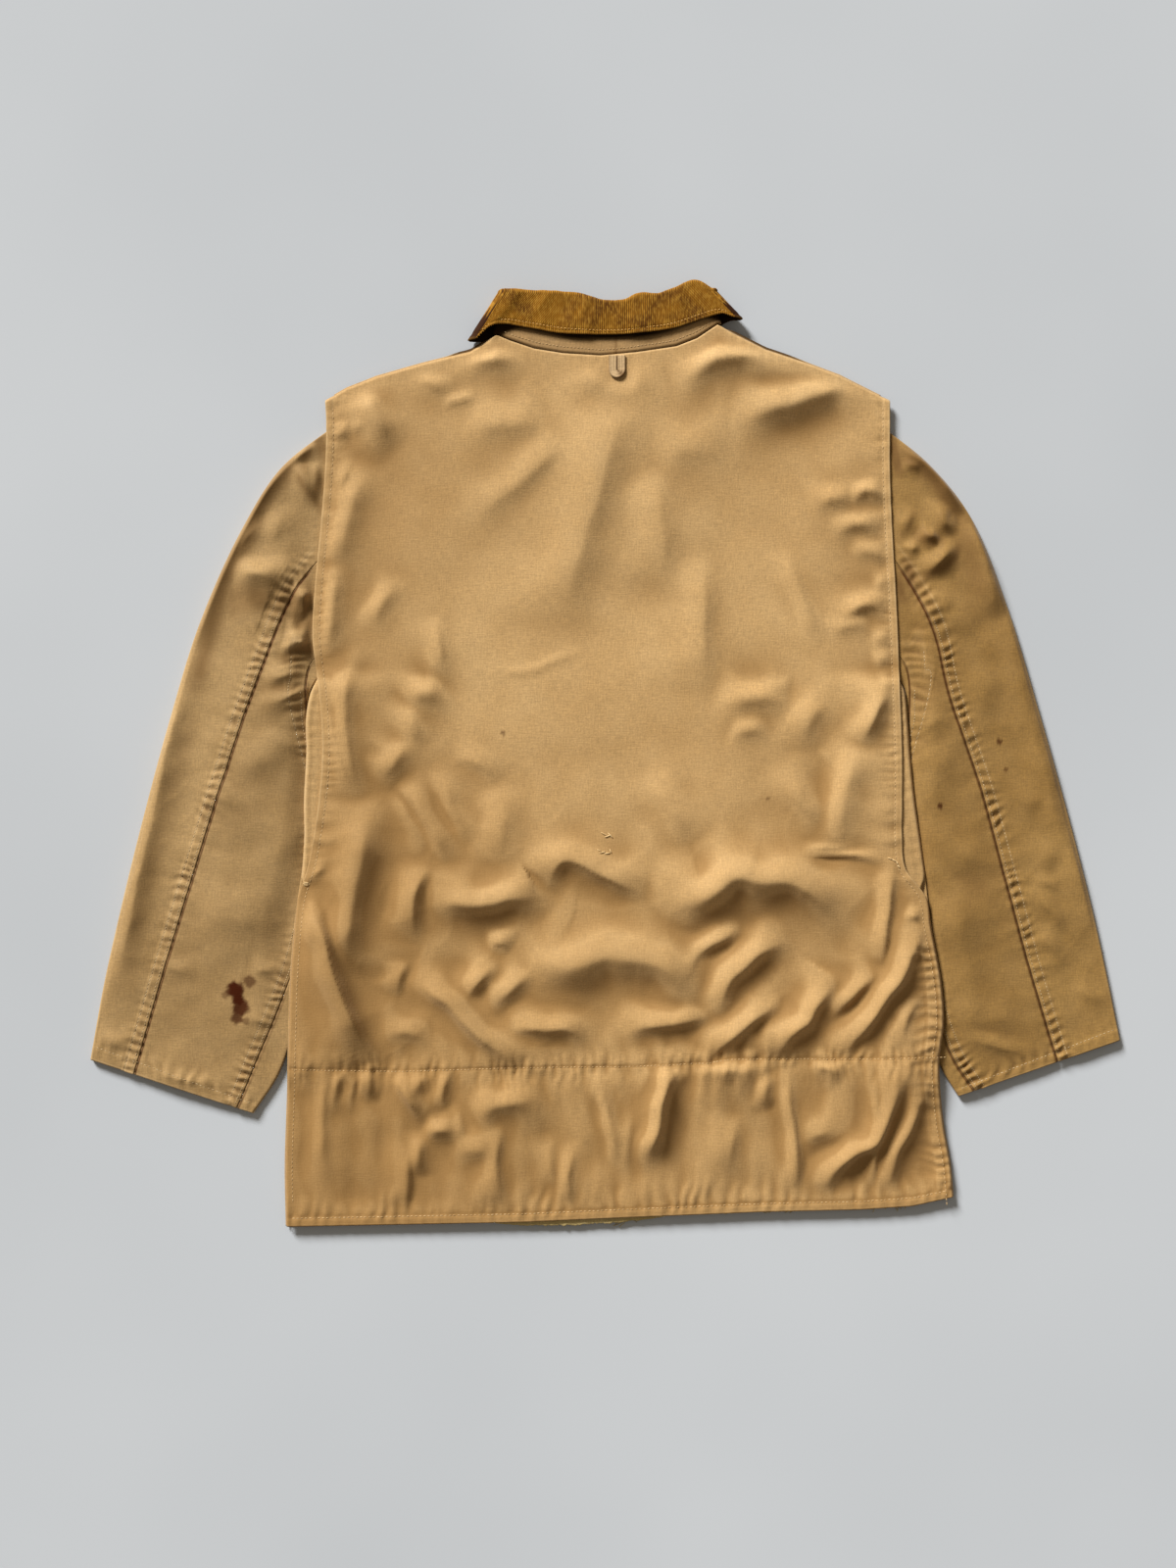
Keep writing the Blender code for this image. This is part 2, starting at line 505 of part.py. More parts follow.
def collar_shape(stand, fall):
    """A ring wall: up the stand at one distance, over the roll, down the fall at another."""
    radius, middle = (fall - stand) / 2, (fall + stand) / 2
    half = 0.5 - COLLAR_OPENING

    def shape(around, over):
        """Around 0 to 5: front left, left end, back, right end, front right."""
        part = np.clip(np.floor(around), 0, 4)
        t = around - part
        across = np.select([part == 0, part == 1, part == 2, part == 3],
                           [half * (1 - t), 0 * t, t, 0 * t + 1], 1 - half * t)
        turn = np.pi * t
        out_x = np.select([part == 1, part == 3], [-np.sin(turn), np.sin(turn)], 0.0)
        out_z = np.select([part == 0, part == 1, part == 2, part == 3],
                          [-1 + 0 * t, -np.cos(turn), 1 + 0 * t, np.cos(turn)], -1.0)
        seam, roll, edge = collar_rails(across, out_z > 0)
        beyond = roll_normal(across, (1 + out_z) / 2)
        step = np.clip(np.floor(over), 0, 2)
        s = over - step
        bend = np.pi * s
        reach = radius * np.sin(bend)
        plan = [np.select([step == 0, step == 1],
                          [seam[k] + (roll[k] - seam[k]) * s, roll[k] + beyond[k] * reach],
                          roll[k] + (edge[k] - roll[k]) * s) for k in (0, 1)]
        distance = np.select([step == 0, step == 1],
                             [stand + 0 * s, middle - radius * np.cos(bend)], fall)
        return plan[0] + distance * out_x, plan[1], COLLAR_MID_Z + distance * out_z

    return shape


def build_collar():
    """The corduroy top collar wraps the plain under collar; both turn the neck's ends."""
    around = parts(5, 4, NECK_COLUMNS, 4, 5)
    over = parts(2, 3, 2)
    panel("collar_top", around, over, collar_shape(CORDUROY_STAND, CORDUROY_FALL))
    panel("collar_under", around, over, collar_shape(UNDER_STAND, UNDER_FALL))


def build_hanger_loop():
    """A tape doubled back on itself, sewn in at the middle of the neck seam."""
    tape, leg, left_x, turn_x = 6.2, 18, -1.4, 2.1
    below_seam = 2
    radius = turn_x - left_x

    def shape(along, across):
        """Along 0 to 3: down one leg, round the turn, up the other."""
        part = np.clip(np.floor(along), 0, 2)
        t = along - part
        side = (across - 0.5) * tape
        angle = np.pi * t
        x = np.select([part == 0, part == 1],
                      [left_x + side, turn_x - (radius - side) * np.cos(angle)],
                      turn_x + radius - side)
        y = np.select([part == 0, part == 1], [-leg * t, -leg - (radius - side) * np.sin(angle)],
                      -leg * (1 - t)) - below_seam
        return x, y, back_base(x, y) + LAYER_STEP

    panel("hanger_loop", parts(4, 8, 4), np.linspace(0, 1, 4), shape)


def build_lining():
    """The lining's lower edge, which shows as a sliver under the hem."""
    left_x, right_x, depth, shows = -108, 46, 24, 3.2
    end_inset, level = 0.2, UNDER_BACK_Z + 0.1

    def shape(across, height):
        x = left_x + (right_x - left_x) * across
        hem = np.interp(x, HEM["x"], HEM["y"])
        bottom = hem - shows * np.sin(np.pi * across) ** 0.6 + end_inset
        return x, bottom + depth * height, 0 * x + level

    panel("lining", np.linspace(0, 1, 17), np.linspace(0, 1, 3), shape)


def centre_on_origin():
    """Stand the middle of the underside on the origin."""
    bpy.context.view_layer.update()
    graph = bpy.context.evaluated_depsgraph_get()
    points = []
    for item in bpy.data.collections[NAME].objects:
        mesh = item.evaluated_get(graph).to_mesh()
        points.append(np.array([vertex.co for vertex in mesh.vertices]))
        item.evaluated_get(graph).to_mesh_clear()
    points = np.concatenate(points)
    low, high = points.min(axis=0), points.max(axis=0)
    for item in bpy.data.collections[NAME].objects:
        item.location = (-(low[0] + high[0]) / 2, -(low[1] + high[1]) / 2, -low[2])


def main():
    for item in list(bpy.data.objects):
        bpy.data.objects.remove(item, do_unlink=True)
    bpy.context.scene.collection.children.link(bpy.data.collections.new(NAME))
    build_fronts()
    build_under_back()
    build_sleeve("left", SLEEVE_LEFT)
    build_sleeve("right", SLEEVE_RIGHT)
    build_back_panel()
    build_collar()
    build_hanger_loop()
    build_lining()
    centre_on_origin()


main()
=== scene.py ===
"""The looks of the hunting jacket: its cloth, folds, seams, stitches, floor and light.

Sizes are in millimetres from the datum, the middle of the back neck seam, as they are
in the part: x to the right of the picture, y toward the collar, z up from the surface.
"""

import bpy
import numpy as np
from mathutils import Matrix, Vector


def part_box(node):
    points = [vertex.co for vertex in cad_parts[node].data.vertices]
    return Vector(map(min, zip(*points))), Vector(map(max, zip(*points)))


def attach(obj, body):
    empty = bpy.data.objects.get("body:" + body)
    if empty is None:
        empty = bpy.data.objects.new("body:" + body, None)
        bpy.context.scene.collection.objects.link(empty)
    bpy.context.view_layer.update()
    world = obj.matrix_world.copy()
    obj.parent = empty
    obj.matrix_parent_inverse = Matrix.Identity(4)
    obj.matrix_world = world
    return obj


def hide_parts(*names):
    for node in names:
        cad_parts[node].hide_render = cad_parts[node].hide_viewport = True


MM = 0.001
WALL = 1.2
SEAM_GAP = 0.3
ROLLED_GAP = 0.9        # between two layers whose edges are rolled together
# Heights of the middles of the walls, where they lie flat.
FRONT_Z, UNDER_BACK_Z, BACK_Z, SLEEVE_TOP_Z, COLLAR_MID_Z = 0.6, 3.65, 5.6, 4.0, 7.2
LAYER_STEP = 1.5
SLEEVE_LIFT = 4.9       # of the body's sides, where they lie on the sleeves
SHOULDER_DOWN, ARMPIT_DOWN, BARTACK_DOWN, INNER_BACK_DOWN, HEM_DOWN = 40, 281, 462, 612, 763
FELLED_DOWN = (505, 525)    # where the felled seam down the right side begins
CUFFS_DOWN = (612, 628)     # where the left and the right side leave the sleeves
# Distances of the collar's layers from its middle plane.
CORDUROY_STAND, UNDER_STAND, UNDER_FALL, CORDUROY_FALL = 1.0, 2.9, 4.7, 6.6
NECK_LEFT, NECK_RIGHT, NECK_FRONT = (-104, 16), (89, 25), (-9, -85)
NECK_ZONE = (28, 140)   # how far from the neck hole the body sinks to its own level
SIDE_ZONE = (27, 80)    # and how far in from its sides
HEM_BAND = 8            # depth of the stitched hem
CAPE_BAND = 7           # depth of the stitched free edges of the outer back
FELL = 10.8             # width of the sleeves' felled seams
CUFF_BAND = 13
FELLED_SIDE = 15        # width of the puckered seam down the right side
# How far inside a band's edge its row of stitches lies.
BAND_ROW, FELL_ROW, CUFF_ROW = 0.8, 1.5, 1.2
# The collar's widths, how far its wales run on round each end, and half the gap between its
# two front ends, as a share of its length.
STAND_WIDTH, ROLL_WIDTH, FALL_WIDTH, END_WALES, RING_OPENING = 40, 8, 36, 9.0, 0.02
WALE_PITCH, WALE_HEIGHT = 1.78, 0.40
# the colour of real stains, also used for the painted shade in the sleeves' seam cracks
STAIN_AND_SHADE = (0.055, 0.013, 0.005)
# Canvas: its dark, middle and pale tones, and the colour of its stains and deep shadows.
CANVAS = {
    "canvas_back": ((0.490, 0.292, 0.108), (0.555, 0.344, 0.137), (0.67, 0.455, 0.215), STAIN_AND_SHADE),
    "canvas_body": ((0.425, 0.252, 0.091), (0.485, 0.296, 0.112), (0.60, 0.405, 0.19),
                    (0.03, 0.012, 0.004)),
    "canvas_sleeve": ((0.330, 0.196, 0.068), (0.392, 0.241, 0.091), (0.54, 0.36, 0.165), STAIN_AND_SHADE),
    # the right sleeve's copy is darker: painted shade, as that sleeve is turned away from the light
    "canvas_sleeve_right_shaded": ((0.264, 0.141, 0.031), (0.318, 0.178, 0.046), (0.48, 0.295, 0.110),
                            STAIN_AND_SHADE),
    "canvas_stand": ((0.345, 0.200, 0.072), (0.400, 0.236, 0.089), (0.50, 0.32, 0.14),
                     (0.02, 0.010, 0.004)),
    "lining_cloth": ((0.52, 0.38, 0.14), (0.66, 0.52, 0.24), (0.80, 0.68, 0.40)),
    "tape": ((0.50, 0.33, 0.16), (0.58, 0.40, 0.20), (0.70, 0.52, 0.30), (0.10, 0.045, 0.015))}
# Thread: its colour and its darker spots.
THREAD = {
    "back_thread": ((0.62, 0.42, 0.20), (0.40, 0.25, 0.10)),
    "sleeve_thread": ((0.55, 0.40, 0.21), (0.33, 0.22, 0.10)),
    "pale_thread": ((0.70, 0.50, 0.24), (0.52, 0.34, 0.14)),
    "golden_thread": ((0.66, 0.38, 0.10), (0.46, 0.24, 0.05)),
    "fray": ((0.64, 0.52, 0.26), (0.42, 0.32, 0.13))}

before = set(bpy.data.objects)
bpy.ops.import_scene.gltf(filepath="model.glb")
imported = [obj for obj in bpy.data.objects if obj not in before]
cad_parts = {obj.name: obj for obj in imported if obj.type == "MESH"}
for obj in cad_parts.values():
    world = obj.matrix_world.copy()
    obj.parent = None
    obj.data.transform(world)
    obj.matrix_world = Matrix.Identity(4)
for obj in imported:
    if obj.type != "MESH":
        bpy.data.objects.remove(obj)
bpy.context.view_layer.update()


def datum():
    """Where the part keeps the datum: 31 mm right of the lining's middle, 2 mm above the loop."""
    lining_low, lining_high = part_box("lining")
    loop_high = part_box("hanger_loop")[1]
    return np.array([(lining_low[0] + lining_high[0]) / 2 + 0.031, loop_high[1] + 0.002, 0.0])


DATUM = datum()


def columns(names, rows):
    """A table with named columns."""
    return dict(zip(names.split(), np.array(rows, dtype=float).T))


# Side outlines: x of the outer back's edges (cape) and of the body's own edges (side).
BODY = columns("down cape_left cape_right side_left side_right", [
    (40, -254, 240, -246, 232), (60, -253, 240, -243, 229), (101, -254, 240, -245.6, 232),
    (152, -258, 242, -249, 235), (204, -263, 245, -252.3, 238.6), (247, -265, 247, -255, 241.4),
    (281, -261, 248, -259.8, 246.3), (294, -259, 248, -265.4, 251.9), (316, -257, 249, -270, 254.5),
    (350, -256, 250, -270, 257),
    (390, -259, 250, -272, 261), (425, -264, 250, -272, 266), (450, -269, 253, -273.5, 269.5),
    (475, -277, 271, -277, 272), (500, -280, 275, -280, 275), (550, -284, 284, -284, 284),
    (585, -285, 286, -285, 286), (620, -286, 282, -286, 282), (675, -288, 287, -288, 287),
    (710, -289, 293, -289, 293), (765, -288, 297, -288, 297)])

# Top outline of the back: left shoulder, neck seam, right shoulder.
BACK_TOP = columns("x y", [
    (-254, -40), (-235, -29), (-209, -19), (-169, -8), (-127, 2), (-104, 16), (-92, 11),
    (-71, 4), (-46, 0), (-13, -2), (19, 1), (53, 6), (71, 13), (89, 25), (101, 19),
    (131, 4), (174, -10), (196, -18), (240, -40)])
HEM = columns("x y", [(-288, -763), (-82, -759), (9, -755), (130, -750), (217, -748),
                      (261, -745), (297, -737)])

# Sleeves, from armhole to cuff: the flattened tube's outer and inner edge, and how far
# across it, from the outer edge, its two seams lie.
SLEEVE_COLUMNS = "outer_x outer_y inner_x inner_y seam_back seam_inner"
SLEEVES = {"left": columns(SLEEVE_COLUMNS, [
    (-244, -60, -257.8, -279, 0.50, 0.90), (-293, -99, -267.8, -299, 0.53, 0.90),
    (-326, -150, -265, -338, 0.485, 0.91), (-364, -234, -251, -400, 0.40, 0.92),
    (-391, -321, -255, -472, 0.35, 0.93), (-415, -410, -265, -531, 0.32, 0.92),
    (-436, -496, -280, -588, 0.295, 0.89), (-449, -555, -295, -630, 0.28, 0.87),
    (-460, -617, -317, -664, 0.27, 0.90)]), "right": columns(SLEEVE_COLUMNS, [
    (230.2, -60, 244.3, -279, 0.50, 0.90), (275, -96, 254.5, -299, 0.56, 0.90),
    (310, -140, 252, -338, 0.53, 0.91), (343, -220, 238, -400, 0.47, 0.92),
    (371, -312, 246, -468, 0.42, 0.93), (396, -401, 258, -531, 0.41, 0.93),
    (418, -487, 273, -592, 0.40, 0.93), (431, -546, 285, -624, 0.39, 0.92),
    (442, -600, 300, -649, 0.385, 0.90)])}

# Collar, across the back: the roll's crest and the fall's edge. Below them, its front.
COLLAR_ROLL = columns("across y", [
    (0, 53), (0.2, 51), (0.35, 49), (0.46, 44), (0.6, 44), (0.65, 49), (0.75, 49),
    (0.84, 55), (0.93, 61), (1, 54)])
COLLAR_FALL = columns("across y", [
    (0, 12), (0.04, 21), (0.09, 25), (0.2, 22), (0.33, 17), (0.5, 16), (0.62, 17),
    (0.77, 22), (0.88, 30), (0.95, 34), (1, 31)])
ROLL_ENDS, FALL_ENDS = (-96, 82), (-122, 104)
FRONT_ROLL_Y, FRONT_FALL_Y = -43, -98
FRONT_SEAM_MARGIN = 3
# The row of stitches that crosses the outer back, as the bottom of the bag behind it.
CROSS_SEAM = columns("x y", [
    (-286, -624.4), (-196, -627), (-90, -623.5), (9, -622.6), (81, -619.2), (99, -616),
    (217, -615.8), (267, -614)])
SLEEVE_LENGTH = 600
for sleeve in SLEEVES.values():
    sleeve["station"] = np.array([0, 0.1, 0.2, 0.35, 0.5, 0.65, 0.8, 0.9, 1.0])

# Folds of the outer back: how far they reach to the left and the right of their crest lines,
# how high they are, how softly each side leaves the crest, and those lines.
BACK_FOLDS = [
    # lower back
    (12, 35, 13.6, 1.2, 2, [(-277, -462), (-268, -479), (-260, -496), (-252, -512), (-247, -531),
        (-241, -550), (-233, -569), (-225, -587), (-217, -608), (-206, -627)]),
    (25, 32, 10.0, 1.4, 2, [(-210, -380), (-215, -406), (-220, -436), (-226, -466), (-230, -488),
        (-233, -509), (-236, -531), (-234, -555)]),
    (24, 9, 5.9, 2, 1.05, [(-196, -371), (-183, -383), (-172, -398), (-162, -415), (-151, -434),
        (-141, -453)]),
    (9, 13, 3.1, 2, 1.05, [(-203, -379), (-193, -390), (-181, -408), (-170, -426), (-162, -441)]),
    (10, 28, 7.7, 1.1, 2, [(-165, -439), (-169, -452), (-175, -472), (-176, -489), (-178, -518)]),
    (35, 19, 11.2, 2, 1.4, [(-170, -484), (-162, -482), (-149, -479), (-136, -480), (-123, -482),
        (-110, -481), (-93, -476), (-80, -475), (-67, -472), (-57, -460)]),
    (32, 12, 7.7, 2, 1.1, [(-71, -474), (-60, -462), (-54, -450), (-46, -443), (-38, -443),
        (-27, -448), (-14, -456), (0, -461), (15, -466), (36, -476)]),
    (42, 26, 14.2, 2, 1.4, [(28, -493), (41, -487), (53, -481), (66, -477), (81, -474), (92, -467),
        (100, -460), (110, -458), (122, -461), (144, -462), (155, -464), (165, -469), (175, -475),
        (187, -481), (201, -489), (217, -500)]),
    (46, 31, 13.0, 2, 1.5, [(-86, -507), (-76, -514), (-65, -522), (-54, -531), (-43, -535),
        (-33, -534), (-22, -531), (-9, -527), (10, -529), (28, -531), (38, -534), (49, -541),
        (62, -550), (75, -554), (96, -561)]),
    (12, 24, 7.1, 1.1, 2, [(111, -488), (103, -497), (98, -507), (86, -515), (72, -525),
        (55, -538)]),
    (15, 28, 10.0, 1.2, 2, [(158, -505), (148, -511), (138, -518), (124, -525), (112, -535),
        (101, -545), (95, -556), (90, -569), (88, -589)]),
    (28, 12, 8.3, 2, 1.1, [(-3, -593), (10, -591), (23, -588), (45, -586), (62, -584), (75, -579),
        (89, -567)]),
    (12, 28, 8.8, 1.1, 2, [(146, -556), (139, -563), (132, -573), (119, -583), (108, -593),
        (93, -604), (72, -621)]),
    (16, 28, 11.2, 1.2, 2, [(198, -536), (193, -547), (184, -556), (175, -570), (169, -583),
        (157, -593), (146, -604), (131, -624)]),
    (11, 24, 7.7, 1.1, 2, [(236, -531), (228, -539), (218, -549), (207, -561), (195, -571),
        (181, -589)]),
    (10, 26, 10.6, 1.1, 2, [(272, -491), (266, -505), (261, -519), (255, -534), (248, -547),
        (238, -560), (227, -576), (216, -592), (206, -603), (191, -625)]),
    (14, 6, 4.2, 2, 1.05, [(-275, -461), (-267, -457), (-258, -452), (-248, -448)]),
    (14, 6, 4.0, 2, 1.05, [(244, -448), (256, -450), (270, -455)]),
    (14, 6, 3.5, 2, 1.05, [(248, -457), (260, -460), (273, -464)]),
    (6, 18, 5.3, 1.05, 2, [(243, -434), (243, -445), (240, -466), (236, -494), (234, -514),
        (232, -531), (230, -548)]),
    (28, 13, 10.0, 2, 1.1, [(-191, -544), (-181, -550), (-169, -554), (-155, -563), (-143, -572),
        (-132, -584), (-122, -594), (-110, -603), (-97, -611), (-79, -625)]),
    (24, 10, 7.7, 2, 1.05, [(-105, -585), (-95, -587), (-80, -588), (-63, -591), (-46, -591),
        (-33, -596), (-17, -606)]),
    (12, 24, 7.1, 1.1, 2, [(-100, -527), (-106, -534), (-115, -546), (-129, -560), (-141, -572)]),
    (13, 24, 6.5, 1.2, 2, [(-65, -532), (-71, -539), (-84, -550), (-97, -562), (-120, -574)]),
    (18, 9, 4.1, 2, 1.05, [(-114, -519), (-101, -516), (-89, -520)]),
    (24, 14, 5.3, 2, 1.2, [(-208, -595), (-198, -594), (-181, -593), (-158, -596)]),
    (7, 18, 4.1, 1.05, 2, [(-185, -527), (-187, -539), (-190, -551), (-194, -565)]),
    (14, 5, 3.8, 2, 1.05, [(150, -442), (159, -439), (182, -434), (199, -433), (220, -431)]),
    (9, 5, 4.2, 2, 1.05, [(150, -445), (159, -441), (182, -439), (199, -439), (217, -440),
        (239, -446)]),
    (14, 8, 3.8, 2, 1.05, [(249, -487), (260, -492), (272, -493)]),
    (7, 18, 4.1, 1.05, 2, [(272, -553), (263, -565), (255, -578), (250, -597), (248, -613)]),
    # gathered band
    (13, 18, 4.5, 1.2, 2, [(-248, -617), (-254, -651), (-256, -677), (-255, -703), (-246, -727)]),
    (9, 12, 3.8, 1.1, 2, [(-237, -618), (-243, -642), (-245, -673)]),
    (8, 12, 3.2, 1.1, 2, [(-224, -618), (-229, -642), (-231, -668)]),
    (11, 15, 5.0, 1.1, 2, [(-217, -615), (-215, -634), (-212, -656)]),
    (20, 8, 7.5, 2, 1.05, [(-200, -624), (-194, -630), (-185, -644), (-175, -660), (-164, -678)]),
    (18, 16, 7.5, 2, 1.1, [(-170, -677), (-153, -679), (-134, -675)]),
    (14, 15, 6.2, 1.1, 2, [(-169, -679), (-172, -701), (-169, -722)]),
    (5, 20, 4.5, 1.05, 2, [(-179, -681), (-181, -707), (-182, -728), (-186, -756)]),
    (8, 20, 3.2, 1.1, 2, [(-146, -651), (-138, -664), (-135, -677), (-134, -696)]),
    (27, 21, 7.5, 2, 1.3, [(-134, -673), (-122, -665), (-110, -659), (-93, -656), (-76, -653),
        (-58, -644)]),
    (27, 20, 5.0, 2, 1.4, [(-149, -701), (-123, -696), (-98, -697)]),
    (10, 22, 5.2, 1.05, 2, [(-103, -661), (-104, -694), (-103, -720), (-102, -754)]),
    (8, 15, 5.0, 1.05, 2, [(-36, -684), (-40, -711), (-42, -733), (-44, -754)]),
    (9, 21, 3.5, 1.1, 2, [(-58, -677), (-55, -711), (-52, -739)]),
    (24, 12, 5.8, 1.05, 2, [(-22, -617), (-15, -632), (-9, -660), (-3, -685), (3, -725)]),
    (9, 15, 4.5, 1.05, 2, [(-167, -618), (-172, -638), (-180, -658)]),
    (8, 14, 4.2, 1.05, 2, [(-147, -618), (-150, -642), (-154, -668)]),
    (16, 18, 13.1, 1.2, 2, [(62, -610), (53, -624), (46, -637), (42, -651), (39, -673), (34, -688),
        (23, -701), (10, -710)]),
    (21, 30, 6.9, 2, 1.5, [(53, -618), (83, -622), (109, -625), (141, -629)]),
    (10, 30, 3.8, 1.2, 2, [(107, -658), (101, -690), (98, -724)]),
    (13, 18, 5.0, 1.2, 2, [(136, -624), (131, -642), (135, -663)]),
    (8, 14, 5.5, 1.05, 2, [(147, -617), (152, -651), (156, -681), (159, -707), (158, -724),
        (154, -746)]),
    (18, 15, 5.8, 2, 1.1, [(165, -620), (184, -624), (201, -631)]),
    (33, 18, 5.0, 2, 1.4, [(153, -692), (178, -681), (205, -677)]),
    (6, 12, 5.2, 1.05, 2, [(225, -617), (228, -651), (229, -677), (227, -698), (224, -720),
        (217, -746)]),
    (12, 21, 10.6, 1.1, 2, [(257, -613), (245, -638), (240, -660), (233, -677), (224, -692),
        (210, -699), (196, -710), (185, -723), (175, -747)]),
    (11, 18, 7.5, 1.1, 2, [(273, -625), (265, -655), (258, -677), (247, -698), (239, -720),
        (229, -744)]),
    (9, 24, 3.2, 1.2, 2, [(12, -651), (10, -685), (7, -733)]),
    # middle back
    (24, 27, 6.2, 1.5, 2, [(-217, -85), (-224, -109), (-229, -132), (-236, -157), (-241, -178),
        (-245, -204)]),
    (17, 22, 6.2, 1.3, 2, [(-239, -169), (-244, -195), (-247, -221), (-249, -247), (-252, -273)]),
    (13, 21, 4.8, 1.3, 2, [(-227, -247), (-230, -273), (-234, -294), (-235, -320), (-232, -346),
        (-227, -372), (-220, -402)]),
    (9, 18, 3.3, 1.2, 2, [(-259, -285), (-253, -311), (-244, -340), (-234, -369), (-229, -396)]),
    (10, 22, 3.7, 1.2, 2, [(-162, -223), (-155, -247), (-150, -273), (-147, -295)]),
    (22, 23, 7.0, 2, 1.2, [(-189, -305), (-175, -298), (-162, -298), (-143, -290)]),
    (16, 24, 4.0, 1.3, 2, [(-181, -297), (-180, -314), (-175, -331), (-167, -347)]),
    (19, 27, 5.5, 1.3, 2, [(-186, -326), (-188, -348), (-199, -366), (-213, -379)]),
    (20, 14, 4.8, 1.05, 2, [(-161, -357), (-154, -372), (-148, -384), (-141, -400), (-132, -417),
        (-124, -436)]),
    (22, 8, 2.9, 2, 1.05, [(-146, -352), (-127, -356), (-117, -362), (-108, -371), (-100, -379)]),
    (22, 36, 4.0, 1.4, 2, [(-100, -372), (-98, -402), (-101, -427), (-105, -453)]),
    (6, 4, 1.4, 2, 1.05, [(-117, -276), (-93, -278), (-71, -276), (-54, -268), (-21, -257)]),
    (16, 39, 4.0, 1.4, 2, [(72, -166), (77, -204), (77, -238), (76, -273), (72, -300)]),
    (27, 22, 6.6, 2, 1.3, [(81, -300), (101, -302), (122, -301), (144, -300), (160, -294)]),
    (15, 9, 2.9, 2, 1.05, [(132, -295), (144, -292), (155, -295)]),
    (24, 16, 4.2, 2, 1.3, [(95, -328), (118, -329), (137, -324)]),
    (20, 30, 5.9, 1.3, 2, [(201, -302), (182, -307), (170, -319), (163, -335), (160, -350)]),
    (12, 20, 7.2, 1.1, 2, [(239, -283), (230, -304), (224, -319), (217, -333), (211, -352)]),
    (27, 26, 8.2, 1.4, 2, [(218, -331), (208, -354), (202, -376), (198, -397), (196, -419),
        (201, -445)]),
    (9, 8, 3.1, 2, 1.05, [(217, -322), (228, -319), (239, -323)]),
    (5, 9, 1.9, 1.05, 2, [(179, -338), (187, -353), (200, -374)]),
    (30, 20, 5.1, 2, 1.3, [(136, -355), (146, -369), (158, -386), (174, -403), (196, -419)]),
    (36, 18, 4.0, 2, 1.4, [(24, -360), (41, -389), (53, -406), (67, -433)]),
    # upper back
    (18, 30, 7.9, 1.3, 2, [(-229, -22), (-222, -32), (-214, -44), (-206, -58), (-200, -70),
        (-187, -82)]),
    (18, 14, 4.4, 2, 1.2, [(-183, -17), (-170, -22), (-157, -28), (-138, -35)]),
    (10, 5, 2.5, 2, 1.05, [(-157, -46), (-138, -42), (-117, -39)]),
    (18, 14, 6.7, 2, 1.2, [(-150, -9), (-127, -7), (-110, -6), (-93, -6), (-71, -9)]),
    (39, 17, 4.0, 2, 1.4, [(-136, -58), (-106, -63), (-80, -63), (-52, -56)]),
    (33, 16, 3.4, 2, 1.4, [(-136, -150), (-110, -132), (-84, -113), (-63, -95), (-31, -70)]),
    (28, 60, 5.9, 1.5, 2, [(15, -25), (7, -49), (-2, -75), (-10, -101), (-19, -135), (-29, -169),
        (-41, -204), (-50, -247)]),
    (9, 15, 3.2, 1.1, 2, [(-229, -87), (-236, -104), (-246, -126)]),
    (14, 18, 4.2, 1.2, 2, [(-187, -190), (-198, -209), (-208, -226), (-218, -249)]),
    (24, 19, 9.5, 2, 1.2, [(43, -28), (53, -24), (66, -18), (83, -10), (105, -5), (131, -3),
        (161, -1), (187, -9)]),
    (33, 20, 8.9, 2, 1.3, [(95, -54), (109, -54), (126, -52), (148, -46), (174, -37), (195, -30),
        (210, -34), (230, -42)]),
    (12, 5, 2.1, 2, 1.05, [(148, -30), (170, -24), (198, -17)]),
    (15, 9, 5.5, 2, 1.05, [(201, -132), (210, -124), (220, -120), (229, -122), (239, -132)]),
    (18, 14, 4.6, 2, 1.2, [(167, -133), (182, -128), (195, -126), (212, -130)]),
    (18, 11, 5.0, 2, 1.1, [(187, -161), (201, -153), (215, -150), (237, -157)]),
    (15, 9, 3.8, 2, 1.1, [(203, -173), (224, -174), (241, -183)]),
    (12, 7, 3.2, 2, 1.05, [(224, -202), (234, -201), (244, -206)]),
    (18, 11, 6.3, 2, 1.1, [(189, -235), (201, -226), (215, -220), (227, -220), (243, -227)]),
    (18, 12, 3.6, 2, 1.2, [(181, -243), (201, -238), (227, -238)]),
    (7, 18, 3.2, 1.05, 2, [(144, -166), (153, -188), (163, -212), (175, -236), (187, -254)]),
    (15, 10, 3.2, 2, 1.1, [(-251, -74), (-239, -69), (-227, -71)]),
    (12, 9, 3.2, 2, 1.1, [(-234, -68), (-222, -64), (-212, -68)]),
    (12, 8, 2.7, 2, 1.1, [(220, -252), (234, -249), (246, -252)]),
    (12, 8, 2.7, 2, 1.1, [(222, -269), (234, -266), (246, -269)]),
    (12, 8, 2.7, 2, 1.1, [(227, -290), (239, -288), (249, -292)]),
    (45, 30, 3.4, 2, 1.5, [(-58, -16), (-7, -25), (53, -30)]),
    (39, 24, 3.2, 2, 1.5, [(28, -92), (62, -85), (101, -90)]),
    (20, 39, 3.4, 1.5, 2, [(28, -92), (38, -126), (41, -169), (38, -212)]),
]

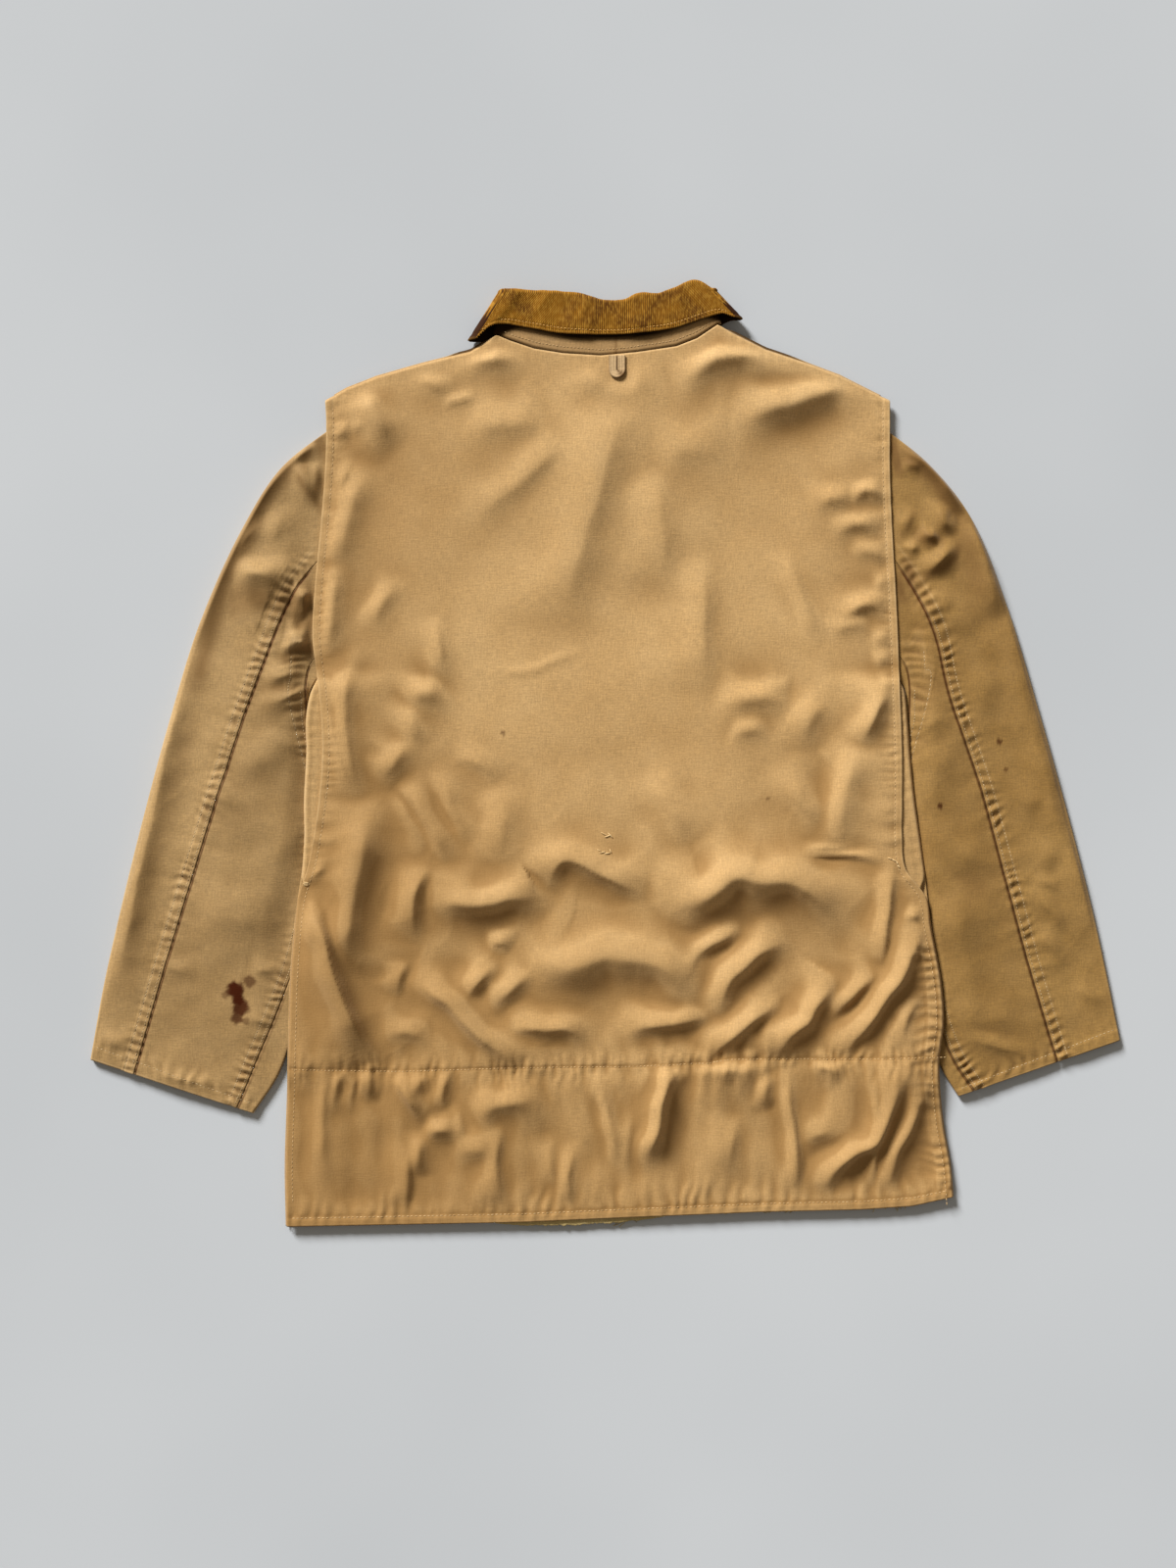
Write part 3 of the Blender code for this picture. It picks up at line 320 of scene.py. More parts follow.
SLEEVE_CRESTS = {"left": [
    (18, 16, 9.5, 1.2, 2, [(-267, -71), (-286, -89), (-301, -107), (-315, -126), (-328, -150),
        (-338, -169), (-346, -187), (-354, -208), (-363, -238), (-369, -266)]),
    (22, 16, 6.5, 1.4, 2, [(-363, -238), (-372, -273), (-384, -316), (-398, -376), (-411, -436),
        (-422, -488), (-433, -539), (-444, -587)]),
    (19, 13, 6.5, 2, 1.1, [(-279, -89), (-277, -102), (-268, -117), (-256, -132)]),
    (14, 11, 6, 2, 1.0, [(-280, -102), (-277, -90), (-268, -79), (-263, -73)]),
    (9, 12, 4.5, 1.0, 2, [(-265, -92), (-259, -106), (-253, -120)]),
    (18, 19, 5, 1.2, 2, [(-301, -140), (-315, -152), (-325, -166), (-335, -187)]),
    (19, 29, 10.5, 2, 1.1, [(-341, -199), (-325, -194), (-310, -194), (-296, -197), (-284, -204)]),
    (12, 22, 8.5, 2, 1.1, [(-285, -210), (-275, -212), (-262, -219)]),
    (22, 14, 10.0, 2, 1.0, [(-292, -249), (-280, -251), (-262, -253)]),
    (22, 15, 5.5, 2, 1.2, [(-311, -281), (-296, -283), (-282, -281), (-270, -276)]),
    (24, 22, 5.5, 2, 1.3, [(-318, -300), (-304, -304), (-286, -301), (-273, -290), (-265, -280)]),
    (18, 27, 3.5, 1.5, 2, [(-289, -125), (-296, -152), (-306, -175)]),
    (29, 35, 3.2, 1.6, 2, [(-282, -324), (-295, -343), (-315, -357)]),
    (35, 26, 3, 2, 1.6, [(-339, -351), (-317, -354), (-296, -357), (-277, -355)]),
    (26, 35, 3, 1.6, 2, [(-327, -377), (-342, -389), (-354, -402)]),
    (38, 29, 3.2, 2, 1.6, [(-370, -482), (-345, -490), (-320, -494), (-296, -510)]),
    (19, 10, 2.2, 2, 1.2, [(-407, -529), (-388, -537), (-361, -544)]),
    (16, 9, 2.4, 2, 1.2, [(-323, -539), (-308, -538), (-286, -542)]),
    (18, 24, 3, 1.5, 2, [(-277, -389), (-280, -420), (-286, -457)]),
    (19, 13, 2.6, 2, 1.5, [(-330, -575), (-314, -581), (-302, -593)]),
    (16, 11, 3, 2, 1.3, [(-456, -593), (-438, -603), (-419, -606)]),
    (12, 9, 2.6, 2, 1.2, [(-416, -624), (-388, -631), (-361, -638), (-333, -646)]),
], "right": [
    (12, 12, 9, 2, 1.2, [(243, -71), (258, -86), (273, -97), (286, -111), (298, -128),
        (308, -144)]),
    (16, 22, 8, 2, 1.4, [(303, -135), (313, -157), (321, -180), (329, -206), (336, -238)]),
    (19, 24, 4.5, 2, 1.5, [(330, -212), (341, -249), (354, -294), (368, -341), (384, -402),
        (404, -462), (421, -531)]),
    (12, 12, 7.5, 2, 1.0, [(261, -155), (268, -158), (277, -160), (286, -157)]),
    (16, 12, 6.5, 2, 1.1, [(284, -123), (283, -137), (287, -149), (298, -150), (306, -147)]),
    (18, 11, 7.5, 2, 1.1, [(261, -194), (275, -187), (286, -180), (294, -171), (299, -159)]),
    (11, 10, 5, 2, 1.0, [(253, -175), (260, -170), (268, -166)]),
    (16, 9, 3.6, 2, 1.2, [(246, -159), (255, -146), (262, -132)]),
    (12, 11, 5, 2, 1.1, [(246, -95), (256, -97), (273, -102)]),
    (27, 20, 3.4, 2, 1.5, [(260, -231), (287, -221), (311, -214)]),
    (22, 15, 3.6, 2, 1.5, [(320, -169), (329, -204), (334, -238)]),
    (35, 26, 3, 2, 1.6, [(275, -238), (300, -229), (323, -222)]),
    (35, 26, 3.2, 2, 1.6, [(302, -306), (323, -293), (345, -274)]),
    (32, 22, 2.8, 2, 1.6, [(258, -331), (278, -320), (297, -310)]),
    (32, 22, 2.6, 2, 1.6, [(258, -370), (287, -357), (313, -354)]),
    (32, 22, 3.2, 2, 1.6, [(343, -399), (361, -392), (387, -380)]),
    (32, 22, 3.2, 2, 1.6, [(358, -449), (380, -438), (406, -432)]),
    (43, 33, 4.4, 2, 1.6, [(278, -521), (300, -497), (326, -473)]),
    (19, 10, 3.2, 2, 1.2, [(353, -466), (368, -476), (384, -492), (396, -511)]),
    (19, 10, 3, 2, 1.2, [(361, -498), (380, -518), (396, -540)]),
    (16, 10, 2.6, 2, 1.3, [(361, -453), (377, -463), (396, -466)]),
    (27, 18, 2.6, 2, 1.5, [(289, -575), (313, -582), (339, -579), (361, -569)]),
    (16, 10, 3.2, 2, 1.2, [(294, -595), (323, -602), (351, -608), (371, -602)]),
    (32, 24, 3, 2, 1.6, [(287, -450), (310, -437), (329, -431)]),
    (16, 10, 2.2, 2, 1.3, [(396, -550), (416, -562), (432, -575)]),
]}

# The stain by the left cuff, the marks on the right sleeve and the specks on the back:
# x, y, size, depth.
BLOTS = [(-332, -556, 10, 1.0), (-330, -564, 8, 1.0), (-328, -572, 9, 0.95), (-331, -580, 7, 0.85),
         (-320, -548, 7, 0.7), (-341, -560, 4, 0.55), (-323, -583, 4, 0.5),
         (335, -339, 3, 0.8), (341, -363, 2.4, 0.6), (283, -395, 3.2, 0.9),
         (-98, -331, 2.6, 0.7), (133, -389, 2.2, 0.6)]
# Painted shade in the deepest hollows of the sleeves: its reach, depth and line.
DEEP_SHADE = [
    (6, 1.2, [(-263, -68), (-254, -88)]), (5, 0.9, [(-266, -77), (-275, -104)]),
    (4, 0.8, [(-279, -103), (-269, -120), (-256, -137)]), (3, 0.7, [(-263, -102), (-254, -125)]),
    (8, 0.95, [(-280, -92), (-295, -111), (-310, -131), (-320, -157), (-331, -175), (-341, -195),
               (-347, -217), (-355, -243), (-361, -268), (-366, -290)]),
    (10, 0.4, [(-372, -324), (-385, -376), (-402, -436), (-415, -488), (-428, -548)]),
    (13, 1.15, [(-329, -214), (-312, -214), (-295, -218)]),
    (10, 1.25, [(-284, -217), (-265, -231)]),
    (5, 1.1, [(-287, -265), (-262, -255)]), (8, 0.5, [(-310, -290), (-282, -292)]),
    (8, 0.4, [(-315, -309), (-291, -309)]), (10, 0.3, [(-316, -367), (-300, -367)]),
    (13, 0.3, [(-350, -403), (-329, -403)]), (10, 0.35, [(-272, -310), (-283, -430)]),
    (8, 1.1, [(251, -88), (268, -99), (281, -112), (294, -131), (304, -144)]),
    (13, 0.6, [(304, -144), (307, -169), (314, -195), (322, -221)]),
    (4.5, 1.3, [(242, -75), (248, -103)]), (6, 1.0, [(264, -157), (273, -163), (283, -161)]),
    (5, 0.8, [(265, -197), (281, -189), (294, -180), (300, -169), (299, -161)]),
    (5, 1.1, [(255, -182), (260, -204)]), (4, 0.9, [(248, -195), (251, -214)]),
    (5, 0.6, [(286, -144), (290, -155), (307, -155)]), (4, 0.4, [(249, -163), (263, -135)]),
    (12, 0.3, [(270, -300), (300, -275)]), (14, 0.3, [(300, -480), (330, -455)])]
# Bartacks and the hand stitches in the middle of the back: each thread's start and end.
BARTACKS = [(-272.5, -461.4, -267.4, -462.2), (-272.8, -462.6, -267.2, -463.2),
            (-272.4, -463.8, -267.6, -464.2), (237.2, -440.0, 241.2, -441.6),
            (241.0, -441.4, 244.9, -443.6), (244.8, -443.4, 246.4, -446.4),
            (246.3, -446.2, 247.8, -449.4), (-12.9, -418.0, -7.2, -421.2),
            (-10.0, -422.6, -3.6, -420.2), (-6.6, -418.6, -1.8, -423.6),
            (-16.2, -432.8, -12.2, -435.0), (-14.4, -436.2, -8.8, -435.0),
            (-10.0, -436.8, -4.4, -436.0), (-5.2, -432.6, -3.4, -436.8)]
# Loose threads at the hem: x, length, count.
FRAYS = [(-46, 9, 2), (-26, 7, 2), (0, 9, 5), (14, 16, 5), (26, 8, 3), (99, 7, 2), (135, 8, 2),
         (155, 7, 3), (230, 7, 2), (245, 9, 3), (252, 7, 2)]
# Camera, in metres: its height, the width that the frame shows and where its middle lies;
# its sensor, in millimetres. Then the floor, in metres.
CAMERA_HEIGHT, FRAME_LENGTH, CAMERA_PLACE, SENSOR = 1.8, 1.376, (-0.0151, -0.0262), 36
FLOOR_REACH, FLOOR_DOWN = 5.0, 0.0004
# Light: how far to the left of the collar's direction the sun stands, its height and spread.
SUN_LEFT, SUN_UP, SUN_SPREAD, SUN_LIGHT, WORLD_LIGHT = 33, 27, 18, 5.7, 0.24


def ramp(value, start, end):
    """Rises softly from 0 at start to 1 at end."""
    t = np.clip((value - start) / (end - start), 0, 1)
    return t * t * (3 - 2 * t)


def table(data, column, at, key="down"):
    """A smooth curve through one column of a table."""
    stations, values = data[key], data[column]
    step = np.diff(stations)
    slope = np.diff(values) / step
    tangent = np.concatenate(([slope[0]], (slope[:-1] + slope[1:]) / 2, [slope[-1]]))
    i = np.clip(np.searchsorted(stations, at, side="right") - 1, 0, len(step) - 1)
    t = np.clip((at - stations[i]) / step[i], 0, 1)
    start = (2 * t**3 - 3 * t**2 + 1) * values[i] + (t**3 - 2 * t**2 + t) * step[i] * tangent[i]
    end = (3 * t**2 - 2 * t**3) * values[i + 1] + (t**3 - t**2) * step[i] * tangent[i + 1]
    return start + end


def at_station(data, column, station):
    return table(data, column, station, key="station")


def bell(distance, width):
    """1 on a line, falling to 0 beside it."""
    return np.exp(-(distance / width) ** 2)


def rolled(distance, radius):
    """Height that a quarter-round edge loses at this distance from its rim."""
    inside = np.clip(radius - distance, 0, radius)
    return radius - np.sqrt(np.maximum(radius**2 - inside**2, 0))


def running_length(points):
    """Length of a line up to each of its points."""
    return np.concatenate(([0], np.cumsum(np.hypot.reduce(np.diff(points, axis=0), axis=1))))


def parts(count, last):
    """Splits a running count into the number of the part and how far along it, 0 to 1."""
    part = np.clip(np.floor(count), 0, last)
    return part, count - part


def by_part(part, *values):
    """The first value where the part is 0, the next where it is 1, the last in all the rest."""
    return np.select([part == k for k in range(len(values) - 1)], list(values[:-1]), values[-1])


def inside_edges(kind, x, y):
    """How far inside the body's sides, or inside the outer back's edges, a place lies."""
    return np.minimum(x - table(BODY, f"{kind}_left", -y), table(BODY, f"{kind}_right", -y) - x)


def back_top_y(x):
    return np.interp(x, BACK_TOP["x"], BACK_TOP["y"])


def neck_front_y(x):
    """The front neckline, a deep curve from one neck point to the other."""
    middle_x, middle_y = NECK_FRONT

    def toward(end_x, end_y):
        return middle_y + (end_y - middle_y) * (np.abs(x - middle_x) / abs(end_x - middle_x)) ** 2

    return np.where(x < middle_x, toward(*NECK_LEFT), toward(*NECK_RIGHT))


def front_top_y(x):
    at_neck = (x > NECK_LEFT[0]) & (x < NECK_RIGHT[0])
    return np.where(at_neck, neck_front_y(np.clip(x, NECK_LEFT[0], NECK_RIGHT[0])), back_top_y(x))


def near_neck(x, y):
    """1 over the neck hole and beside it, where the collar lies, falling to 0 outside."""
    hole_x, share = np.meshgrid(np.linspace(NECK_LEFT[0], NECK_RIGHT[0], 30), np.linspace(0, 1, 8))
    hole_y = neck_front_y(hole_x) + (back_top_y(hole_x) - neck_front_y(hole_x)) * share
    distance = np.min(np.hypot(x[:, None] - hole_x.ravel(), y[:, None] - hole_y.ravel()), axis=1)
    return 1 - ramp(distance, *NECK_ZONE)


def sleeve_lift(x, y):
    """How far the body is raised where its sides lie on the sleeves."""
    lower_end = np.where(x < 0, *CUFFS_DOWN)
    level = ramp(-y, ARMPIT_DOWN - 9, ARMPIT_DOWN + 15) * (1 - ramp(-y, lower_end, lower_end + 40))
    return SLEEVE_LIFT * level * (1 - ramp(inside_edges("side", x, y), *SIDE_ZONE))


def front_base(x, y):
    neck = (COLLAR_MID_Z - UNDER_STAND - FRONT_Z) * near_neck(x, y)
    return FRONT_Z + neck + sleeve_lift(x, y)


def back_base(x, y):
    neck = (COLLAR_MID_Z + UNDER_STAND - BACK_Z) * near_neck(x, y)
    return BACK_Z + neck + sleeve_lift(x, y)


def shoulder_roll(x, y, top_y, radius):
    """Height lost at the shoulder seam, dying out where the collar begins."""
    beyond_neck = np.maximum(NECK_LEFT[0] - x, x - NECK_RIGHT[0])
    return ramp(beyond_neck, 0, 16) * rolled(np.maximum(top_y(x) - y, 0), radius)


def free_sides(y):
    """1 where the inner back shows beside the outer one, from the armpits to the bartacks."""
    return ramp(-y, ARMPIT_DOWN, ARMPIT_DOWN + 20) * (
        1 - ramp(-y, BARTACK_DOWN - 5, BARTACK_DOWN + 13))


def under_back_height(x, y):
    """The inner back: level, with its side edges rolled down to the fronts."""
    edge = inside_edges("side", x, y)
    drop = (UNDER_BACK_Z - FRONT_Z - ROLLED_GAP) / 2
    armhole = (SLEEVE_TOP_Z - UNDER_BACK_Z) * (1 - ramp(edge, 0, 30)) * (-y < ARMPIT_DOWN)
    base = back_base(x, y) - BACK_Z + UNDER_BACK_Z
    return base + armhole - free_sides(y) * rolled(np.maximum(edge, 0), drop)


def front_height(x, y, overlap_x=None):
    """A front: flat on the surface, rolled up at its side and shoulder seams."""
    base = front_base(x, y)
    beside_inner = (UNDER_BACK_Z - FRONT_Z - ROLLED_GAP) / 2
    beside_outer = (back_base(x, y) - base - ROLLED_GAP) / 2
    outer = ramp(-y, BARTACK_DOWN - 5, BARTACK_DOWN + 35)
    side = np.maximum(inside_edges("side", x, y), 0)
    below_arm = ramp(-y, ARMPIT_DOWN, ARMPIT_DOWN + 20)
    rise = below_arm * rolled(side, beside_inner + outer * (beside_outer - beside_inner))
    rise = np.maximum(rise, shoulder_roll(x, y, front_top_y, beside_outer))
    if overlap_x is not None:
        base = base + LAYER_STEP * (1 - ramp(x, overlap_x + 24, overlap_x + 60))
    return base + rise


def body_plan(across, down, left_x, right_x, top_y):
    """Plan position on the body: sides from the tables, top and hem from their curves."""
    share = (down - SHOULDER_DOWN) / (HEM_DOWN - SHOULDER_DOWN)
    low_left, low_right = left_x(HEM_DOWN), right_x(HEM_DOWN)

    def hem_shift(hem_x):
        return (np.interp(hem_x, HEM["x"], HEM["y"]) + HEM_DOWN) * ramp(share, 0.8, 1)

    left = left_x(down - hem_shift(low_left))
    right = right_x(down - hem_shift(low_right))
    top_x = left_x(SHOULDER_DOWN) + (right_x(SHOULDER_DOWN) - left_x(SHOULDER_DOWN)) * across
    top_shift = (top_y(top_x) + SHOULDER_DOWN) * (1 - ramp(share, 0, 0.45))
    hem_x = low_left + (low_right - low_left) * across
    return left + (right - left) * across, top_shift + hem_shift(hem_x) - down


def noise(x, y, size, seed):
    """Smooth noise from about -1 to 1, with lumps of the given size."""
    draw = np.random.default_rng(seed)
    turn, shuffle = draw.random(1024) * 2 * np.pi, draw.permutation(1024)
    x, y = x / size + 300.5, y / size + 300.5
    column, row = np.floor(x).astype(int), np.floor(y).astype(int)
    fx, fy = x - column, y - row
    sx, sy = (f**3 * (f * (f * 6 - 15) + 10) for f in (fx, fy))
    total = 0.0
    for dx, share_x in ((0, 1 - sx), (1, sx)):
        for dy, share_y in ((0, 1 - sy), (1, sy)):
            angle = turn[(shuffle[(column + dx) % 1024] + row + dy) % 1024]
            slope = np.cos(angle) * (fx - dx) + np.sin(angle) * (fy - dy)
            total = total + share_x * share_y * slope
    return 1.5 * total


def warped(x, y, amount, large, small, seed):
    """Plan positions moved about by noise of two sizes, so that lines in them wander."""
    return [value + amount * noise(x, y, large, first) + amount / 2 * noise(x, y, small, first + 1)
            for value, first in ((x, seed), (y, seed + 2))]


def creases(x, y, size, seed):
    """Thin ridges where smooth noise changes sign, from 0 to 1."""
    return np.exp(-np.abs(noise(x, y, size, seed)) / 0.12)


def smooth_line(points, count):
    """A smooth line through the points, as evenly spaced points of its own."""
    points = np.array(points, dtype=float)
    reach = running_length(points)
    at = np.linspace(0, reach[-1], count)
    data = {"station": reach, "x": points[:, 0], "y": points[:, 1]}
    return np.column_stack([at_station(data, name, at) for name in ("x", "y")])


def beside_line(x, y, line):
    """Signed distance to a line, positive on its left, and how far along it, 0 to 1."""
    best = np.full(x.shape, 1e9)
    signed, share = np.zeros_like(best), np.zeros_like(best)
    for i, (start, end) in enumerate(zip(line[:-1], line[1:])):
        step = end - start
        length = np.hypot(*step)
        t = ((x - start[0]) * step[0] + (y - start[1]) * step[1]) / length**2
        side = (step[0] * (y - start[1]) - step[1] * (x - start[0])) / length
        inside = np.clip(t, 0, 1)
        distance = np.hypot(x - start[0] - inside * step[0], y - start[1] - inside * step[1])
        nearer = distance < best
        best = np.where(nearer, distance, best)
        signed = np.where(nearer, np.where(side >= 0, distance, -distance), signed)
        share = np.where(nearer, (i + inside) / (len(line) - 1), share)
    return signed, share


def draped(x, y, folds):
    """Height of the folds, which sink and widen softly toward the ends of their crest lines."""
    total = np.zeros_like(x)
    for left, right, peak, left_soft, right_soft, points in folds:
        line = smooth_line(points, 5 * (len(points) - 1) + 1)
        margin = 2.2 * max(left, right)
        low, high = line.min(axis=0) - margin, line.max(axis=0) + margin
        near = (x > low[0]) & (x < high[0]) & (y > low[1]) & (y < high[1])
        if not near.any():
            continue
        offset, share = beside_line(x[near], y[near], line)
        length = np.hypot(*np.diff(line, axis=0).T).sum()
        fade = min(0.48, 0.22 + 18 / length)
        ends = ramp(share, 0, fade) * ramp(1 - share, 0, fade)
        reach = 0.54 * np.where(offset > 0, left, right) * (1 + 0.7 * (1 - ends))
        soft = np.where(offset > 0, left_soft, right_soft) * ends + 2 * (1 - ends)
        total[near] += (peak * ends * np.exp(-np.abs(offset / reach) ** soft)) ** 3
    return np.cbrt(total)


def gathers(along, off, pitch, reach, seed):
    """Small folds that a seam pulls across itself, dying out beside it, about -1 to 1."""
    wander = pitch * (0.9 * noise(along, off, 5 * pitch, seed)
                      + 0.3 * noise(along, off, 1.6 * pitch, seed + 1))
    wave = np.cos(2 * np.pi * (along + wander) / pitch)
    strength = np.clip(0.65 + 0.8 * noise(along, 0 * off, 3.5 * pitch, seed + 2), 0.15, 1.3)
    return strength * (0.65 * wave + 0.35 * wave**3) * np.exp(-(np.abs(off) / reach) ** 1.6)


def cross_seam_y(x):
    return np.interp(x, CROSS_SEAM["x"], CROSS_SEAM["y"])


def hem_y(x):
    return np.interp(x, HEM["x"], HEM["y"])


def back_detail(x, y):
    """Heights of the outer back's folds, gathers and stitched bands, with how rubbed it is and a
    painted highlight on its highest fold crests.
    """
    folds = draped(*warped(x, y, 2.0, 55, 22, 11), BACK_FOLDS)
    seam_off, from_hem, top = y - cross_seam_y(x), y - hem_y(x), back_top_y(x) - y
    free = np.maximum(inside_edges("cape", x, y), 0)
    joined = ramp(-y, BARTACK_DOWN, BARTACK_DOWN + 16)
    felled = joined * ramp(-y, *FELLED_DOWN) * (x > 0)
    calm = (0.25 + 0.75 * ramp(free, 2, 16)) * ramp(top, 0, 26) * ramp(from_hem, 4, 26)
    height = folds * calm * (1 - 0.62 * bell(seam_off, 6.0))
    lower, band = ramp(-y, 330, 430), ramp(-seam_off, -4, 10)
    # the loose cloth's own swell and its fine creases
    height += 2.2 * noise(x, y, 90, 21) * calm * (0.8 + 0.4 * lower)
    height += 0.8 * noise(x, y, 34, 22) * calm * (0.35 + 0.9 * lower)
    height += (0.06 + 0.22 * lower * (1 - band)) * creases(x, y, 46, 23) * calm
    # upright folds of the gathered band, and gathers at its seam and at the hem
    upright = noise(x + 8 * noise(x, y, 60, 31), y * 0.2, 30, 32)
    height += band * calm * (1.7 * upright + 0.35 * noise(x, y * 0.25, 12, 33))
    seam_reach = np.where(seam_off > 0, 8, 15)
    fine = noise(x + 2 * noise(x, y, 14, 37), y * 0.3, 4.5, 36)
    height += 1.2 * fine * np.exp(-np.abs(seam_off) / seam_reach)
    height += 0.75 * gathers(x, seam_off, 7.4, seam_reach, 41)
    height += 0.6 * gathers(x, seam_off, 19, np.where(seam_off > 0, 20, 34), 44)
    above_hem = from_hem - HEM_BAND
    height += 1.05 * gathers(x, above_hem, 12, np.where(above_hem > 0, 16, 5), 47)
    height += 0.8 * noise(x, y * 0.3, 5, 48) * np.exp(-np.abs(above_hem) / 10)
    # level under the loop
    height *= 1 - 0.92 * np.exp(-((x - 2) / 15) ** 4 - ((y + 12) / 20) ** 4)
    # gathers along the sides and the shoulders
    stitched = np.where(x > 0, 1 - joined + felled, 1 - joined)
    inset = CAPE_BAND + (FELLED_SIDE - CAPE_BAND) * felled
    side_reach = np.where(free > inset, 9, 6) + 1.5 * felled
    height += (0.5 + 0.7 * felled) * stitched * gathers(
        -y, free - inset * (1 - 0.45 * felled), 9.5, side_reach, 51)
    height += 0.3 * stitched * gathers(-y, free - CAPE_BAND, 23, 20, 54)
    height += 0.2 * gathers(x, top - 3, 10, 9, 57)
    # stitched bands stand a layer higher, with a groove along each row of stitches
    for distance, step in ((above_hem, 0.6), (free - inset, 0.45 * stitched)):
        height += step * (1 - ramp(distance, -1.2, 1.2))
        height -= step * 0.9 * bell(distance + BAND_ROW, 1.3)
    height -= 0.4 * bell(seam_off, 1.4)
    wear = stitched * (0.8 * (1 - ramp(free, 0.6, 2.4)) + 0.35 * bell(free - inset + 1, 1.2))
    wear += 0.4 * (1 - ramp(from_hem, 0.6, 2.4)) + 0.5 * (1 - ramp(top, 0, 2))
    # the fold term is a painted highlight: paler where the folds stand highest
    wear += 0.2 * bell(above_hem, 1.2) + 0.16 * ramp(folds, 3.5, 8.0)
    return height, wear


def back_plan(across, down):
    return body_plan(across, down, lambda d: table(BODY, "cape_left", d),
                     lambda d: table(BODY, "cape_right", d), back_top_y)


def back_surface(x, y):
    """Height of the outer back's face, and how rubbed it is, with a painted highlight on its fold
    crests.
    """
    height, wear = back_detail(x, y)
    free_edge = inside_edges("cape", x, y)
    base = back_base(x, y)
    drop = (base - front_base(x, y) - ROLLED_GAP) / 2
    joined = ramp(-y, BARTACK_DOWN + 5, BARTACK_DOWN + 35)
    free = ramp(-y, ARMPIT_DOWN, ARMPIT_DOWN + 30) * (1 - ramp(-y, BARTACK_DOWN - 20, BARTACK_DOWN))
    height = height - 0.5 * free * (1 - ramp(free_edge, 0, 9))
    side_roll = joined * rolled(np.maximum(free_edge, 0), drop)
    roll = np.maximum(side_roll, shoulder_roll(x, y, back_top_y, drop))
    return base + height - roll + WALL / 2, wear


def hollows(height, shape, reach):
    """How deep each point of a grid lies below its neighbours on both sides, 0 to 1, which sets the
    shade painted into its hollows.
    """
    height = height.reshape(shape)
    level = height
    for axis in (0, 1):
        sums = np.cumsum(np.pad(level, [(reach + 1, reach) if k == axis else (0, 0)
                                        for k in (0, 1)], mode="edge"), axis=axis)
        cells = np.arange(shape[axis])
        window = 2 * reach + 1
        level = (np.take(sums, cells + window, axis) - np.take(sums, cells, axis)) / window
    return np.clip((level - height) / 2.2, 0, 1).ravel()


def add_object(name, data):
    item = bpy.data.objects.new(name, data)
    bpy.context.scene.collection.objects.link(item)
    return item


def add_piece(name, points, quads, finish):
    """A smooth piece from points in metres and quads; it rides on the jacket."""
    mesh = bpy.data.meshes.new(name)
    mesh.vertices.add(len(points))
    mesh.vertices.foreach_set("co", points.astype(np.float32).ravel())
    mesh.loops.add(4 * len(quads))
    mesh.loops.foreach_set("vertex_index", np.ascontiguousarray(quads, dtype=np.int32).ravel())
    mesh.polygons.add(len(quads))
    mesh.polygons.foreach_set("loop_start", np.arange(0, 4 * len(quads), 4, dtype=np.int32))
    mesh.update(calc_edges=True)
    mesh.shade_smooth()
    item = add_object(name, mesh)
    mesh.materials.append(finish)
    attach(item, "root")
    return item


def cloth(name, piece, slot, finish, shape, places, cloth_uv=None, inside_out=False, **fields):
    """A sheet in place of a piece of the part, from a grid of places, its face outward."""
    points = np.column_stack(places) * MM + DATUM
    index = np.arange(len(points)).reshape(shape)
    quads = np.stack([index[:-1, :-1], index[:-1, 1:], index[1:, 1:], index[1:, :-1]], axis=-1)
    quads = quads.reshape(-1, 4)
    corners = points[quads]
    normal_z = np.cross(corners[:, 2] - corners[:, 0], corners[:, 3] - corners[:, 1])[:, 2]
    wrapped = abs(normal_z.sum()) < 0.5 * np.abs(normal_z).sum()
    height = corners[:, :, 2].mean(axis=1) - (points[:, 2].min() + points[:, 2].max()) / 2
    outward = (normal_z * height).sum() if wrapped else normal_z.sum()
    if (outward < 0) != inside_out:
        quads = quads[:, ::-1]
    item = add_piece(name, points, quads, finish)
    flat = (np.column_stack(cloth_uv or places[:2]) * MM)[quads.ravel()]
    layer = item.data.uv_layers.new(name="cloth")
    layer.data.foreach_set("uv", flat.astype(np.float32).ravel())
    for label in ("wear", "stain", "hollow"):
        values = np.clip(fields.get(label, np.zeros(len(points))), 0, 1)
        field = item.data.attributes.new(label, "FLOAT", "POINT")
        field.data.foreach_set("value", values.astype(np.float32))
    rim = item.modifiers.new("rim", "SOLIDIFY")
    rim.thickness = WALL * MM
    rim.offset = -1
    rim.use_rim_only = True
    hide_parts(piece)
    return item


def graded(*runs):
    """Stops from the first number: each following run is (end, step)."""
    values = [float(runs[0])]
    for end, step in runs[1:]:
        count = max(1, int(round(abs(end - values[-1]) / step)))
        values += list(np.linspace(values[-1], end, count + 1)[1:])
    return np.array(values)


def stops(across, down):
    """Every pair of two rows of stops, as flat arrays, and the shape of their grid."""
    u, v = np.meshgrid(across, down)
    return u.ravel(), v.ravel(), u.shape


